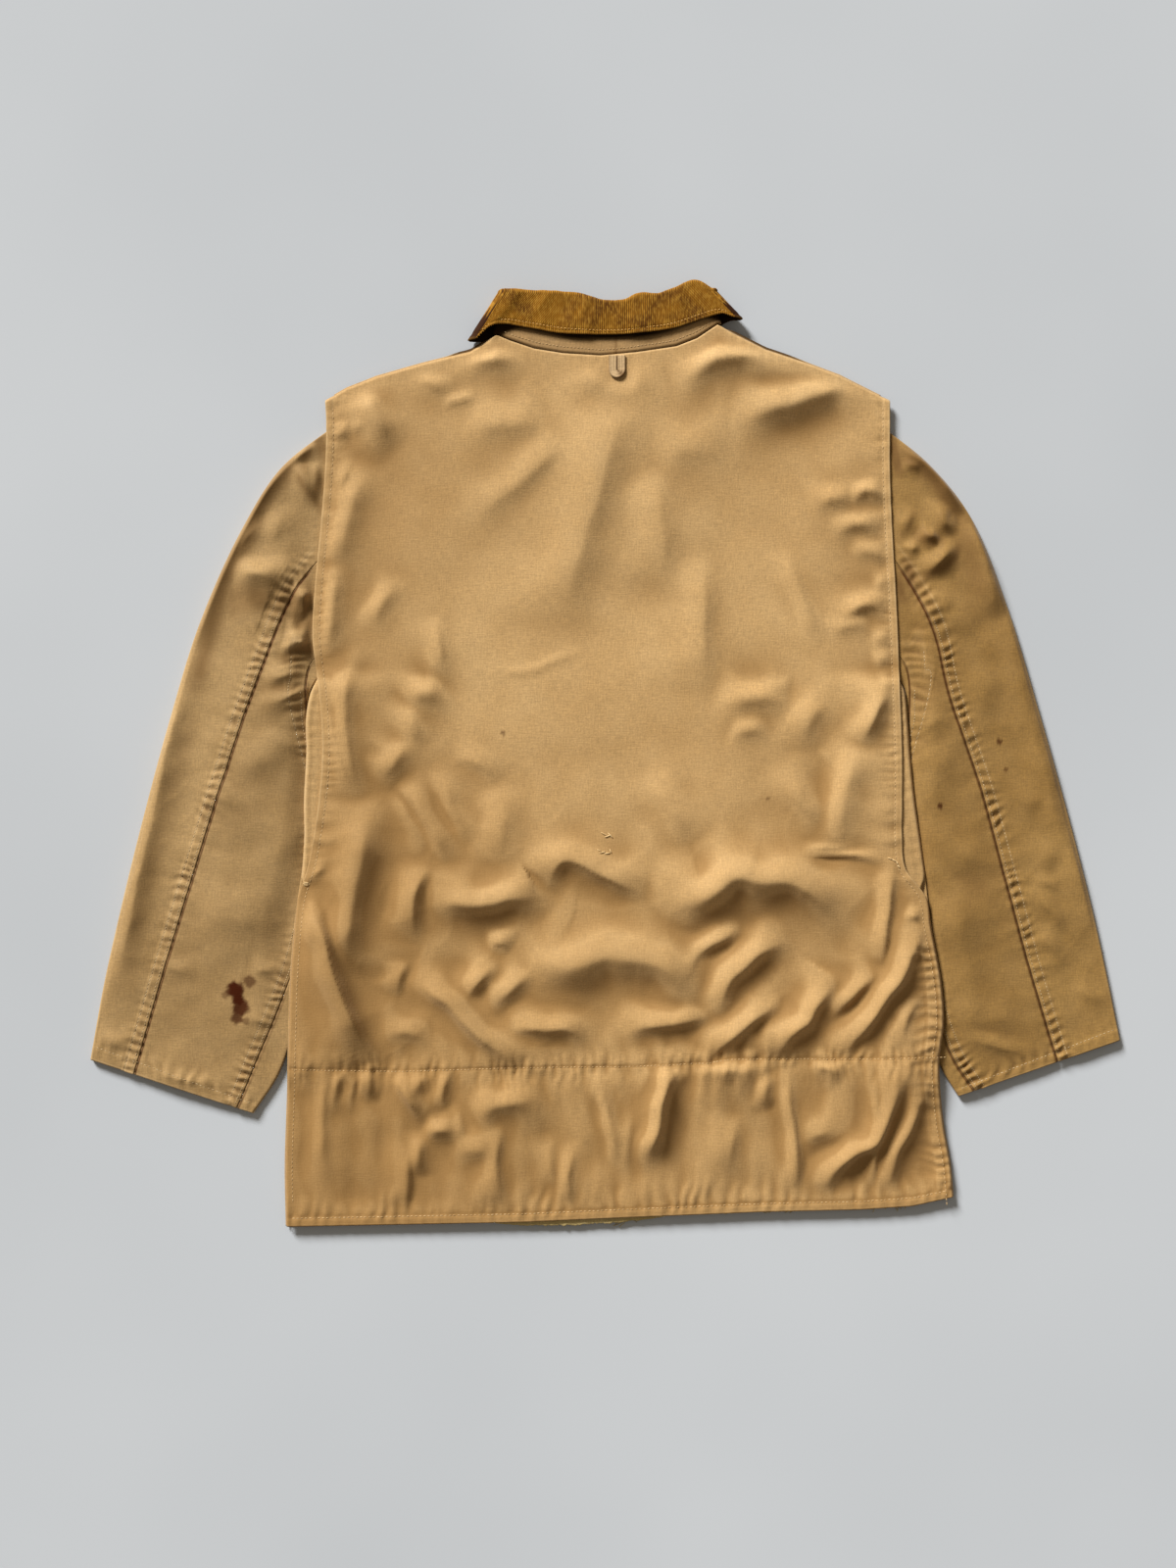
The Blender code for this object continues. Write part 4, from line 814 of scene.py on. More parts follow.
def make_back(finish):
    across = graded(0, (14, 1.1), (70, 2.0), (500, 2.05), (556, 2.0), (570, 1.1)) / 570
    down = graded(HEM_DOWN, (748, 1.15), (640, 2.3), (604, 1.3), (330, 2.35), (60, 3.2),
                  (SHOULDER_DOWN, 1.6))
    u, v, shape = stops(across, down)
    x, y = back_plan(u, v)
    z, wear = back_surface(x, y)
    from_hem, from_right = y - hem_y(x), table(BODY, "cape_right", -y) - x
    # painted shade: darker toward the bottom, the left and the right, in lines along the cross
    # seam, the hem band's edge and the felled seam's rows, and a little over the hem band, with
    # some random tone
    shaded = 0.36 * ramp(-y, 300, 450) + 0.36 * ramp(-x, 80, 200) + 0.14 * ramp(x, 120, 220)
    shaded += 0.10 * ramp(-y, 600, 640) + 0.12 * noise(x, y, 120, 24)
    shaded += 0.7 * bell(y - cross_seam_y(x), 1.1)
    shaded += 0.9 * bell(from_hem - HEM_BAND, 1.3) + 0.15 * (1 - ramp(from_hem, 8, 14))
    for line_at in (5.0, FELLED_SIDE):
        shaded += 0.8 * ramp(-y, *FELLED_DOWN) * bell(from_right - line_at, 1.1)
    return cloth("outer_back", "back_panel", "canvas_back", finish, shape, (x, y, z), wear=wear,
                 stain=blot(x, y), hollow=hollows(z, shape, 7) + np.maximum(shaded, 0))


def make_under_back(finish):
    def inside(down):
        return (6 * ramp(down, BARTACK_DOWN - 8, BARTACK_DOWN + 10)
                + SEAM_GAP * (np.asarray(down) < ARMPIT_DOWN))

    across = graded(0, (16, 1.6), (60, 4), (440, 9), (484, 4), (500, 1.6)) / 500
    u, v, shape = stops(across, graded(INNER_BACK_DOWN, (450, 4.5), (270, 2.2), (52, 4.5)))
    x, y = body_plan(u, v, lambda d: table(BODY, "side_left", d) + inside(d),
                     lambda d: table(BODY, "side_right", d) - inside(d),
                     lambda top_x: np.minimum(back_top_y(top_x), 0) - 5)
    edge, sides = np.maximum(inside_edges("side", x, y), 0), free_sides(y)
    z = under_back_height(x, y) + WALL / 2
    z += sides * 0.35 * gathers(-y, edge - 5, 9.0, 7, 61) * ramp(edge, 0, 3)
    z -= sides * 0.5 * bell(edge - 6, 1.1)
    return cloth("inner_back", "under_back", "canvas_body", finish, shape, (x, y, z),
                 wear=sides * (1 - ramp(edge, 0.5, 2.5)))


def make_fronts(finish):
    left_edge_x, right_edge_x = 16, -34
    down = graded(HEM_DOWN, (745, 2), (610, 6), (55, 6), (SHOULDER_DOWN, 1.5))
    made = []
    for side, width, runs in (("left", 268, (0, (12, 1.5), (268, 5))),
                              ("right", 272, (0, (260, 5), (272, 1.5)))):
        left = side == "left"
        u, v, shape = stops(graded(*runs) / width, down)
        x, y = body_plan(
            u, v, lambda d: table(BODY, "side_left", d) if left else 0 * d + right_edge_x,
            lambda d: 0 * d + left_edge_x if left else table(BODY, "side_right", d), front_top_y)
        z = front_height(x, y, overlap_x=None if left else left_edge_x) + WALL / 2
        # the shoulder seam's edge peeks out beside the collar, painted dark as shade
        peeks = (ramp(x, 92, 104) * (1 - ramp(x, 148, 176))
                 + ramp(-x, 104, 110) * (1 - ramp(-x, 136, 150))) * (front_top_y(x) - y < 0.8)
        made.append(cloth(f"{side}_front", f"front_{side}", "canvas_body", finish, shape,
                          (x, y + 1.7 * peeks, z), stain=0.9 * peeks))
    return made


def sleeve_plan(data, station, across):
    """Plan position on a sleeve, across millimetres in from its outer edge, and its width."""
    outer_x, outer_y, inner_x, inner_y = (
        at_station(data, name, station) for name in ("outer_x", "outer_y", "inner_x", "inner_y"))
    width = np.hypot(inner_x - outer_x, inner_y - outer_y)
    return (outer_x + (inner_x - outer_x) * across / width,
            outer_y + (inner_y - outer_y) * across / width, width)


def seam_across(data, seam, station):
    """How far in from a sleeve's outer edge one of its seams lies."""
    return sleeve_plan(data, station, 0 * station)[2] * at_station(data, seam, station)


def seam_frame(data, seam, station, across):
    """How far along a sleeve's seam a place lies, and how far square off it, outward."""
    def seam_place(at):
        return np.array(sleeve_plan(data, at, seam_across(data, seam, at))[:2])

    at = np.linspace(0, 1, 201)
    heading = seam_place(np.minimum(station + 0.01, 1)) - seam_place(np.maximum(station - 0.01, 0))
    heading /= np.hypot(*heading)
    inward = (np.array(sleeve_plan(data, station, 1 + 0 * station)[:2])
              - np.array(sleeve_plan(data, station, 0 * station)[:2]))
    beyond = across - seam_across(data, seam, station)
    along = np.interp(station, at, running_length(seam_place(at).T))
    along += beyond * (inward * heading).sum(axis=0)
    return along, -beyond * np.abs(inward[0] * heading[1] - inward[1] * heading[0])


def sleeve_relief(side, station, across):
    """Height above the flat upper layer, how rubbed it is, and the shade painted in its seams'
    cracks and between their gathers.
    """
    data = SLEEVES[side]
    x, y, width = sleeve_plan(data, station, across)
    outside = (table(BODY, "cape_left", -y) - x if side == "left"
               else x - table(BODY, "cape_right", -y))
    shown, puffed = ramp(outside, 0, 9), ramp(outside, 3, 30)
    rims = ramp(across, 0, 6) * ramp(width - across, 0, 14)
    puff = 1.0 + 4.6 * ramp(station, 0, 0.2) * (1 - ramp(station, 0.6, 1.0))
    puff *= np.sin(np.pi * np.clip(across / width, 0, 1)) ** 0.9
    folds = draped(*warped(x, y, 1.6, 40, 17, 71), SLEEVE_CRESTS[side])
    height = (puff * puffed + (folds + 1.4 * noise(x, y, 60, 75) + 0.6 * noise(x, y, 24, 76)
                               + 0.16 * creases(x, y, 34, 77)) * shown) * rims
    from_cuff = (1 - station) * SLEEVE_LENGTH
    wear = 0.8 * (1 - ramp(across, 0.3, 3)) + 0.8 * (1 - ramp(from_cuff, 0.4, 2.6))
    crack_shade = 0 * across
    if side == "right":     # it swells beside the body's edge
        snug = x - table(BODY, "side_right", -y)
        lengthwise = ramp(-y, 300, 330) * (1 - ramp(-y, 570, 610))
        height += 2.3 * ramp(snug, 0.5, 6) * (1 - ramp(snug, 12, 42)) * lengthwise
    puckered = 1.45 if side == "left" else 1.2
    for seam, seed, strength in (("seam_back", 81, 1.0), ("seam_inner", 85, 0.8)):
        along, off = seam_frame(data, seam, station, across)
        from_row = off - FELL + FELL_ROW
        band = ramp(off, -0.6, 0.8) * (1 - ramp(off, FELL - 1.0, FELL + 1.2))
        rungs = gathers(along, off - FELL / 2, 8.6, 6, seed)
        height += strength * shown * (0.5 * band + 1.1 * puckered * rungs)
        height += 0.25 * strength * shown * gathers(along, off - FELL / 2, 21, 22, seed + 2)
        height -= shown * (0.5 * bell(off + 0.7, 0.9) + 0.35 * bell(from_row, 1.0))
        wear += strength * (0.55 * bell(from_row, 1.1) + 0.3 * bell(off - 1.6, 1.1))
        # painted shade in the seam's crack and in the troughs of its gathers
        crack_shade = np.maximum(crack_shade, 0.9 * shown * bell(off + 1.0, 1.0))
        crack_shade = np.maximum(crack_shade, 0.5 * strength * shown * band * np.clip(-rungs - 0.12, 0, 1))
    height += 0.6 * (1 - ramp(from_cuff, CUFF_BAND - 1, CUFF_BAND + 1))
    height -= 0.45 * bell(from_cuff - CUFF_BAND + CUFF_ROW, 1.1)
    height += 0.75 * gathers(across, from_cuff - CUFF_BAND, 11, 9, 89) * rims
    return height, np.clip(wear, 0, 1) * shown, crack_shade


def blot(x, y):
    """The stains, marks and specks, from 0 to 1."""
    spot = 0 * x
    for px, py, size, depth in BLOTS:
        wobble = 1 + 0.35 * noise(x, y, 0.7 * size, 91) + 0.2 * noise(x, y, 0.3 * size, 92)
        distance = np.hypot(x - px, y - py) * wobble
        spot = np.maximum(spot, depth * (1 - ramp(distance, 0.55 * size, size)))
    return spot


def deepest(x, y):
    """How much shade is painted at each place in the deepest hollows, from 0 to 1."""
    total = 0 * x
    for reach, depth, points in DEEP_SHADE:
        line = smooth_line(points, 4 * len(points))
        offset = beside_line(x, y, line)[0]
        from_end = np.minimum(*(np.hypot(x - line[k, 0], y - line[k, 1]) for k in (0, -1)))
        ends = 0.55 + 0.45 * ramp(from_end, 0, 1.5 * reach)
        total = np.maximum(total, depth * bell(offset, reach) * ends)
    return total


def sleeve_top_layout(data, around, station):
    """Round a sleeve from its inner seam, under it, to its back seam: height and place across."""
    radius, middle_z = (SLEEVE_TOP_Z - FRONT_Z) / 2, (SLEEVE_TOP_Z + FRONT_Z) / 2
    width = sleeve_plan(data, station, 0 * station)[2]
    inner_seam = seam_across(data, "seam_inner", station) + SEAM_GAP / 2
    back_seam = seam_across(data, "seam_back", station) - SEAM_GAP / 2
    part, t = parts(around, 4)
    rise, bulge = radius * np.cos(np.pi * t), radius * np.sin(np.pi * t)
    across = by_part(part, inner_seam + (width - radius - inner_seam) * t, width - radius + bulge,
                     width - radius + (2 * radius - width) * t, radius - bulge,
                     radius + (back_seam - radius) * t)
    z = by_part(part, middle_z + radius, middle_z + rise, middle_z - radius, middle_z - rise,
                middle_z + radius)
    return z, across


def make_sleeve(side, finish):
    data = SLEEVES[side]
    stations = graded(0, (0.97, 2.2 / SLEEVE_LENGTH), (1, 1.2 / SLEEVE_LENGTH))
    around = graded(0, (1, 0.09), (2, 0.16), (3, 0.07), (4, 0.12), (5, 0.014))
    between = graded(0, (12, 1.3), (108, 1.9), (120, 1.2)) / 120
    made = []
    for layer in ("top", "under"):
        u, station, shape = stops(around if layer == "top" else between, stations)
        if layer == "top":
            wall_z, across = sleeve_top_layout(data, u, station)
        else:
            start = seam_across(data, "seam_back", station) + SEAM_GAP / 2
            end = seam_across(data, "seam_inner", station) - SEAM_GAP / 2
            wall_z, across = 0 * u + SLEEVE_TOP_Z, start + (end - start) * u
        x, y = sleeve_plan(data, station, across)[:2]
        relief, wear, crack_shade = sleeve_relief(side, station, across)
        upper = np.clip((wall_z - FRONT_Z) / (SLEEVE_TOP_Z - FRONT_Z), 0, 1)
        z = wall_z + relief * upper + WALL / 2 * (2 * upper - 1)
        # painted shade in the sleeve's deepest hollows
        hollow = upper * deepest(x, y)
        if layer == "under":
            # the panel between the seams is painted a little darker all over, with painted shade in
            # its hollows
            hollow = hollow + (0.14 + hollows(z, shape, 5))
        made.append(cloth(f"{side}_sleeve_{layer}", f"sleeve_{side}_{layer}", "canvas_sleeve",
                          finish, shape, (x, y, z), wear=wear * upper, hollow=hollow,
                          stain=np.where(upper > 0.5, np.maximum(blot(x, y), crack_shade), 0)))
    return made


def collar_rails(across, on_back):
    """Plan positions of the neck seam, the roll and the fall's edge, front or back."""
    def between(start, end):
        return start + (end - start) * across

    bow = ramp(np.abs(2 * across - 1), 0, 1)
    seam_x = between(NECK_LEFT[0], NECK_RIGHT[0])
    front_seam = neck_front_y(seam_x) + FRONT_SEAM_MARGIN * (1 - bow**2)
    seam_y = np.where(on_back, back_top_y(seam_x), front_seam) + SEAM_GAP + bow**2
    rails = [(seam_x, seam_y)]
    for line, ends, front_y in ((COLLAR_ROLL, ROLL_ENDS, FRONT_ROLL_Y),
                                (COLLAR_FALL, FALL_ENDS, FRONT_FALL_Y)):
        end_y = between(line["y"][0], line["y"][-1])
        y = np.where(on_back, table(line, "y", across, key="across"),
                     front_y + (end_y - front_y) * bow)
        rails.append((between(*ends), y))
    return rails


def roll_normal(across, back_share):
    """Unit direction square to the roll line, away from the neck."""
    normal = np.zeros((2, len(across)))
    for on_back, share in ((True, back_share), (False, 1 - back_share)):
        before, after = (collar_rails(np.clip(across + step, 0, 1), on_back)[1]
                         for step in (-0.03, 0.03))
        slope = (after[1] - before[1]) / (after[0] - before[0])
        normal += share * np.array([-slope, np.ones_like(slope)]) / np.hypot(slope, 1)
    return normal / np.hypot(*normal)


def collar_layout(around, over, stand, fall):
    """Places on the collar, a flattened ring folded over, and how far along its wales run.

    Around 0 to 5: front left, left end, back, right end, front right. Over 0 to 3: stand,
    roll, fall. Stand and fall are distances from the middle plane.
    """
    part, t = parts(around, 4)
    half, turn = 0.5 - RING_OPENING, np.pi * t
    across = by_part(part, half * (1 - t), 0.0, t, 1.0, 1 - half * t)
    out_x = by_part(part, 0.0, -np.sin(turn), 0.0, np.sin(turn), 0.0)
    out_z = by_part(part, -1.0, -np.cos(turn), 1.0, np.cos(turn), -1.0)
    seam, roll, edge = collar_rails(across, out_z > 0)
    beyond = roll_normal(across, (1 + out_z) / 2)
    step, s = parts(over, 2)
    radius, middle = (fall - stand) / 2, (fall + stand) / 2
    reach = radius * np.sin(np.pi * s)
    plan_x, plan_y = (by_part(step, seam[k] + (roll[k] - seam[k]) * s, roll[k] + beyond[k] * reach,
                              roll[k] + (edge[k] - roll[k]) * s) for k in (0, 1))
    distance = by_part(step, stand, middle - radius * np.cos(np.pi * s), fall)
    wale = plan_x + by_part(part, 0.0, -END_WALES * (1 - t), 0.0, END_WALES * t, END_WALES)
    return (plan_x + distance * out_x, plan_y, COLLAR_MID_Z + distance * out_z), wale


def collar_piece(name, piece, slot, finish, around, over, stand, fall, ribbed):
    u, v, shape = stops(around, over)
    on_back = (u > 2) & (u < 3)
    rib, outward = 0, 0.3
    if ribbed:
        wale = collar_layout(u, v, stand, fall)[1]
        rib, outward = WALE_HEIGHT * (np.abs(np.cos(np.pi * wale / WALE_PITCH)) - 0.5), 1
    soft = 1.5 * noise(u * 200, v * 14, 24, 101) + 0.6 * noise(u * 200, v * 14, 9, 102)
    soft = np.where(on_back, soft, 0) * ramp(u - 2, 0, 0.05) * ramp(3 - u, 0, 0.05)
    from_edge = (3 - v) * FALL_WIDTH
    grown = (np.maximum(soft, -0.6) * outward * ramp(v, 1.0, 1.6) + rib
             - 0.5 * bell(from_edge - 4.3, 1.0) * (v > 2) * outward)
    places, wale = collar_layout(u, v, stand - rib, fall + grown)
    step, s = parts(v, 2)
    lengths = by_part(step, STAND_WIDTH * s, STAND_WIDTH + ROLL_WIDTH * s,
                      STAND_WIDTH + ROLL_WIDTH + FALL_WIDTH * s)
    if ribbed:      # painted shade between the wales, and at the ends, which turn under into the shade
        groove = 0.5 - np.abs(np.cos(np.pi * wale / WALE_PITCH))
        groove = groove + 0.9 * ((u < 2) | (u > 3)) * ramp(v, 2.25, 2.7)
    else:           # painted shadow where the fall covers the stand
        seam, roll, edge = collar_rails(np.clip(u - 2, 0, 1), True)
        covered = (edge[1] - seam[1]) / (roll[1] - seam[1])
        groove = ramp(v, covered - 0.17, covered - 0.04)
    # painted shade along the neck seam and down the stand's middle seam
    middle_seam = (1 - ramp(np.abs(places[0]), 0.2, 1.6)) * (v < 1) * on_back
    return cloth(name, piece, slot, finish, shape, places, cloth_uv=(wale, lengths),
                 inside_out=not ribbed, stain=groove,
                 wear=0.9 * (1 - ramp(from_edge, 0.2, 1.8)) * (v > 2) + 0.35 * bell(v - 1.5, 0.35),
                 hollow=0.5 * (1 - ramp(v, 0, 0.07)) + middle_seam)


def collar_row(over, distance, first, last):
    """Stitches round the back of the collar, at one distance from its middle plane."""
    u = np.linspace(first, last, 500)
    line = np.column_stack(collar_layout(u, 0 * u + over, distance, distance)[0])
    reach = running_length(line)
    starts = np.arange(0.5, reach[-1] - 2.4, 3.1)
    return [np.column_stack([np.interp(at, reach, line[:, k]) for k in range(3)])
            for at in (starts, starts + 2.1)]


def make_collar(corduroy, canvas, golden_thread, thread):
    """The corduroy top collar, the plain under collar, and their stitches."""
    half = WALL / 2
    top = collar_piece("corduroy_collar", "collar_top", "corduroy", corduroy,
                       graded(0, (1, 0.035), (2, 0.06), (3, 1 / 700), (4, 0.06), (5, 0.035)),
                       graded(0, (1, 0.16), (2, 0.1), (2.8, 0.07), (3, 0.035)),
                       CORDUROY_STAND - half, CORDUROY_FALL + half, True)
    under = collar_piece("under_collar", "collar_under", "canvas_back", canvas,
                         graded(0, (1, 0.05), (2, 0.08), (3, 1 / 120), (4, 0.08), (5, 0.05)),
                         graded(0, (1, 0.06), (2, 0.15), (3, 0.12)),
                         UNDER_STAND + half, UNDER_FALL - half, False)
    edge_row = collar_row(3 - 4.6 / FALL_WIDTH, CORDUROY_FALL + half + 0.35, 2.01, 2.99)
    stand_row = collar_row(4.2 / STAND_WIDTH, UNDER_STAND + half + 0.1, 2.03, 2.97)
    return (top, under,
            stitch_rows("collar_stitches", [edge_row], golden_thread, radius=0.36),
            stitch_rows("stand_stitches", [stand_row], thread, radius=0.3))


def make_loop(finish):
    """The tape loop: a leg down, a half turn and a leg back up."""
    tape, leg, left_x, turn_x = 7.1, 12.6, -2.4, 1.3
    radius = turn_x - left_x
    u, v, shape = stops(graded(0, (1, 0.06), (2, 0.04), (3, 0.06)), graded(0, (1, 0.06)))
    part, t = parts(u, 2)
    side = (v - 0.5) * tape
    angle = np.pi * t
    x = by_part(part, left_x + side, turn_x - (radius - side) * np.cos(angle),
                turn_x + radius - side)
    y = by_part(part, -leg * t, -leg - (radius - side) * np.sin(angle), -leg * (1 - t)) - 2
    rib = 0.25 * np.abs(np.sin(3 * np.pi * v))
    curl = 1.4 * bell(u - 1.6, 0.35) * (1 - v)
    z = back_base(x, y) + LAYER_STEP + WALL / 2 + rib + curl
    # painted shade along the tape's edges and just past its curl
    edges = 1.0 - ramp(np.minimum(v, 1 - v), 0.02, 0.2) + 1.2 * bell(u - 1.75, 0.22)
    return cloth("neck_loop", "hanger_loop", "canvas_body", finish, shape, (x, y, z),
                 stain=0.6 * edges)


def make_lining(finish):
    """The lining's lower edge, torn, of which a sliver shows under the hem."""
    left_x, right_x, depth, shows = -108, 46, 24, 5.0
    u, v, shape = stops(graded(0, (1, 1 / 220)), graded(0, (0.3, 0.05), (1, 0.2)))
    x = left_x + (right_x - left_x) * u
    torn = 0.8 * noise(x, 0 * x, 2.2, 111) + 0.8 * noise(x, 0 * x, 7, 112)
    bow = np.sin(np.pi * u)
    y = hem_y(x) - shows * bow**0.6 + 0.2 + torn * (v < 0.2) * bow + depth * v
    z = 0 * x + UNDER_BACK_Z + 0.1 + WALL / 2 + 0.3 * noise(x, y, 12, 113)
    return cloth("lining_edge", "lining", "lining_cloth", finish, shape, (x, y, z))


def rods(name, starts, ends, radius, finish):
    """One joined mesh of short tapered rods, one from each start to its end."""
    starts, ends = np.array(starts), np.array(ends)
    along = ends - starts
    along = along / np.linalg.norm(along, axis=1, keepdims=True)
    side = np.cross(along, np.array([0.0, 0.0, 1.0]))
    side /= np.maximum(np.linalg.norm(side, axis=1, keepdims=True), 1e-9)
    over = np.cross(side, along)
    rings = []
    for at, size, raised in ((0.0, 0.35, -0.6), (0.22, 1.0, 0.1), (0.78, 1.0, 0.1),
                             (1.0, 0.35, -0.6)):
        centre = starts + (ends - starts) * at + over * (raised * radius)
        for across, high in ((1, 0), (0, 1), (-1, 0), (0, -1)):
            rings.append(centre + radius * size * (across * side * 1.1 + high * over))
    points = np.stack(rings, axis=1).reshape(-1, 3) * MM + DATUM
    base = np.arange(len(starts))[:, None] * len(rings)
    quads = [(4 * ring + k, 4 * ring + (k + 1) % 4, 4 * ring + 4 + (k + 1) % 4, 4 * ring + 4 + k)
             for ring in range(3) for k in range(4)] + [(3, 2, 1, 0), (12, 13, 14, 15)]
    quads = (base[:, :, None] + np.array(quads)[None]).reshape(-1, 4)
    return add_piece(name, points, quads, finish)


def stitch_run(across, along, face, length=2.7, gap=1.0, seed=0):
    """Starts and ends of the stitches along a line of plan points, laid on a face."""
    line = np.column_stack([across, along])
    reach = running_length(line)
    starts = np.arange(1.0, reach[-1] - length, length + gap)
    starts = starts + np.random.default_rng(seed).uniform(-0.25, 0.25, len(starts))
    return [np.column_stack(face(*(np.interp(at, reach, line[:, k]) for k in (0, 1))))
            for at in (starts, starts + length)]


def stitch_rows(name, runs, finish, radius=0.33):
    starts, ends = (np.concatenate([run[k] for run in runs]) for k in (0, 1))
    return rods(name, starts, ends, radius, finish)


def back_face(x, y):
    return x, y, back_surface(x, y)[0]


def sleeve_face(side):
    """A function from (across, station in mm) to a point on the sleeve's upper face."""
    def face(across, along):
        station = along / SLEEVE_LENGTH
        x, y = sleeve_plan(SLEEVES[side], station, across)[:2]
        return x, y, SLEEVE_TOP_Z + WALL / 2 + sleeve_relief(side, station, across)[0]

    return face


def make_stitches(back_thread, sleeve_thread, pale_thread):
    down = np.linspace(46, 745, 180)
    inset = CAPE_BAND - BAND_ROW
    runs = [stitch_run(table(BODY, "cape_left", down) + inset, -down, back_face, seed=201),
            stitch_run(table(BODY, "cape_right", down) - inset, -down, back_face, seed=202)]
    x = np.linspace(-284, 290, 200)
    runs.append(stitch_run(x, hem_y(x) + HEM_BAND - BAND_ROW, back_face, seed=203))
    runs.append(stitch_run(x, cross_seam_y(x) - 0.4, back_face, length=2.2, seed=204))
    made = [stitch_rows("back_stitches", runs, back_thread)]
    tacks = np.array(BARTACKS)
    ends = [np.column_stack(back_face(tacks[:, k], tacks[:, k + 1])) + (0, 0, 0.35) for k in (0, 2)]
    made.append(stitch_rows("bartacks", [ends], pale_thread, radius=0.5))
    along = np.linspace(0.17 * SLEEVE_LENGTH, SLEEVE_LENGTH - 2, 160)
    station = along / SLEEVE_LENGTH
    for side, data in SLEEVES.items():
        face = sleeve_face(side)
        runs = []
        for k, seam in enumerate(("seam_back", "seam_inner")):
            line = seam_across(data, seam, station)
            slant = seam_frame(data, seam, station, line - 1)[1]
            for j, inset in enumerate((2.8, FELL - FELL_ROW)):
                runs.append(stitch_run(line - inset / slant, along, face, seed=211 + 2 * k + j))
        cuff_width = sleeve_plan(data, station[-1:], 0 * station[-1:])[2][0]
        across = np.linspace(3, cuff_width - 3, 60)
        cuff_row = 0 * across + SLEEVE_LENGTH - CUFF_BAND + CUFF_ROW
        runs.append(stitch_run(across, cuff_row, face, seed=221))
        made.append(stitch_rows(f"{side}_sleeve_stitches", runs, sleeve_thread))
    return made


def make_threads(finish):
    """Loose threads at the hem, each a short chain of thin rods."""
    draw = np.random.default_rng(301)
    steps = 7
    starts, ends = [], []
    for x0, reach, count in FRAYS:
        for _ in range(count):
            x = x0 + draw.uniform(-4, 4)
            place = np.array([x, hem_y(x) + 1.0, 3.6])
            heading = -np.pi / 2 + draw.uniform(-0.7, 0.7)
            length = reach * draw.uniform(0.5, 1.1) / steps
            bend = draw.uniform(-0.35, 0.35)
            for _ in range(steps):
                heading += bend + draw.uniform(-0.25, 0.25)
                after = place + np.array([np.cos(heading) * length, np.sin(heading) * length, 0])
                after[2] = max(0.5, place[2] - draw.uniform(0.1, 0.7))
                starts.append(place)
                ends.append(after)
                place = after
    return rods("loose_threads", starts, ends, 0.34, finish)


def new_material(name, roughness, specular=None):
    material = bpy.data.materials.new(name)
    material.use_nodes = True
    shader = material.node_tree.nodes["Principled BSDF"]
    shader.inputs["Roughness"].default_value = roughness
    if specular is not None:
        shader.inputs["Specular IOR Level"].default_value = specular
    return material, material.node_tree, shader


def node(tree, kind, inputs=None, **settings):
    made = tree.nodes.new(kind)
    for key, value in settings.items():
        setattr(made, key, value)
    for key, value in (inputs or {}).items():
        if isinstance(value, bpy.types.NodeSocket):
            tree.links.new(value, made.inputs[key])
        else:
            made.inputs[key].default_value = value
    return made


def blend(tree, factor, first, second):
    """Mixes two colours, each a socket or an RGB triple."""
    made = node(tree, "ShaderNodeMix", data_type="RGBA")
    for socket, value in (("Factor_Float", factor), ("A_Color", first), ("B_Color", second)):
        target = next(s for s in made.inputs if s.identifier == socket)
        if isinstance(value, bpy.types.NodeSocket):
            tree.links.new(value, target)
        else:
            target.default_value = (*value, 1)
    return next(s for s in made.outputs if s.identifier == "Result_Color")


def scaled(tree, value, low, high, to_low=0.0, to_high=1.0):
    return node(tree, "ShaderNodeMapRange", {"Value": value, "From Min": low, "From Max": high,
                                             "To Min": to_low, "To Max": to_high}).outputs["Result"]


def object_place(tree):
    return node(tree, "ShaderNodeTexCoord").outputs["Object"]


def cloth_place(tree):
    return node(tree, "ShaderNodeUVMap", uv_map="cloth").outputs["UV"]


def attribute(tree, name):
    return node(tree, "ShaderNodeAttribute", attribute_name=name).outputs["Fac"]


def lumps(tree, where, scale, detail=2.0, stretch=None):
    """Noise from 0 to 1, at a place that may be stretched first."""
    if stretch:
        where = node(tree, "ShaderNodeMapping",
                     {"Vector": where, "Scale": stretch}).outputs["Vector"]
    return node(tree, "ShaderNodeTexNoise",
                {"Vector": where, "Scale": scale, "Detail": detail}).outputs["Fac"]


def math(tree, operation, first, second):
    return node(tree, "ShaderNodeMath", {0: first, 1: second}, operation=operation).outputs[0]


def brightened(tree, colour, value):
    return node(tree, "ShaderNodeHueSaturation", {"Color": colour, "Value": value}).outputs["Color"]


def set_bump(tree, shader, height, strength, distance):
    bump = node(tree, "ShaderNodeBump",
                {"Height": height, "Strength": strength, "Distance": distance})
    tree.links.new(bump.outputs["Normal"], shader.inputs["Normal"])


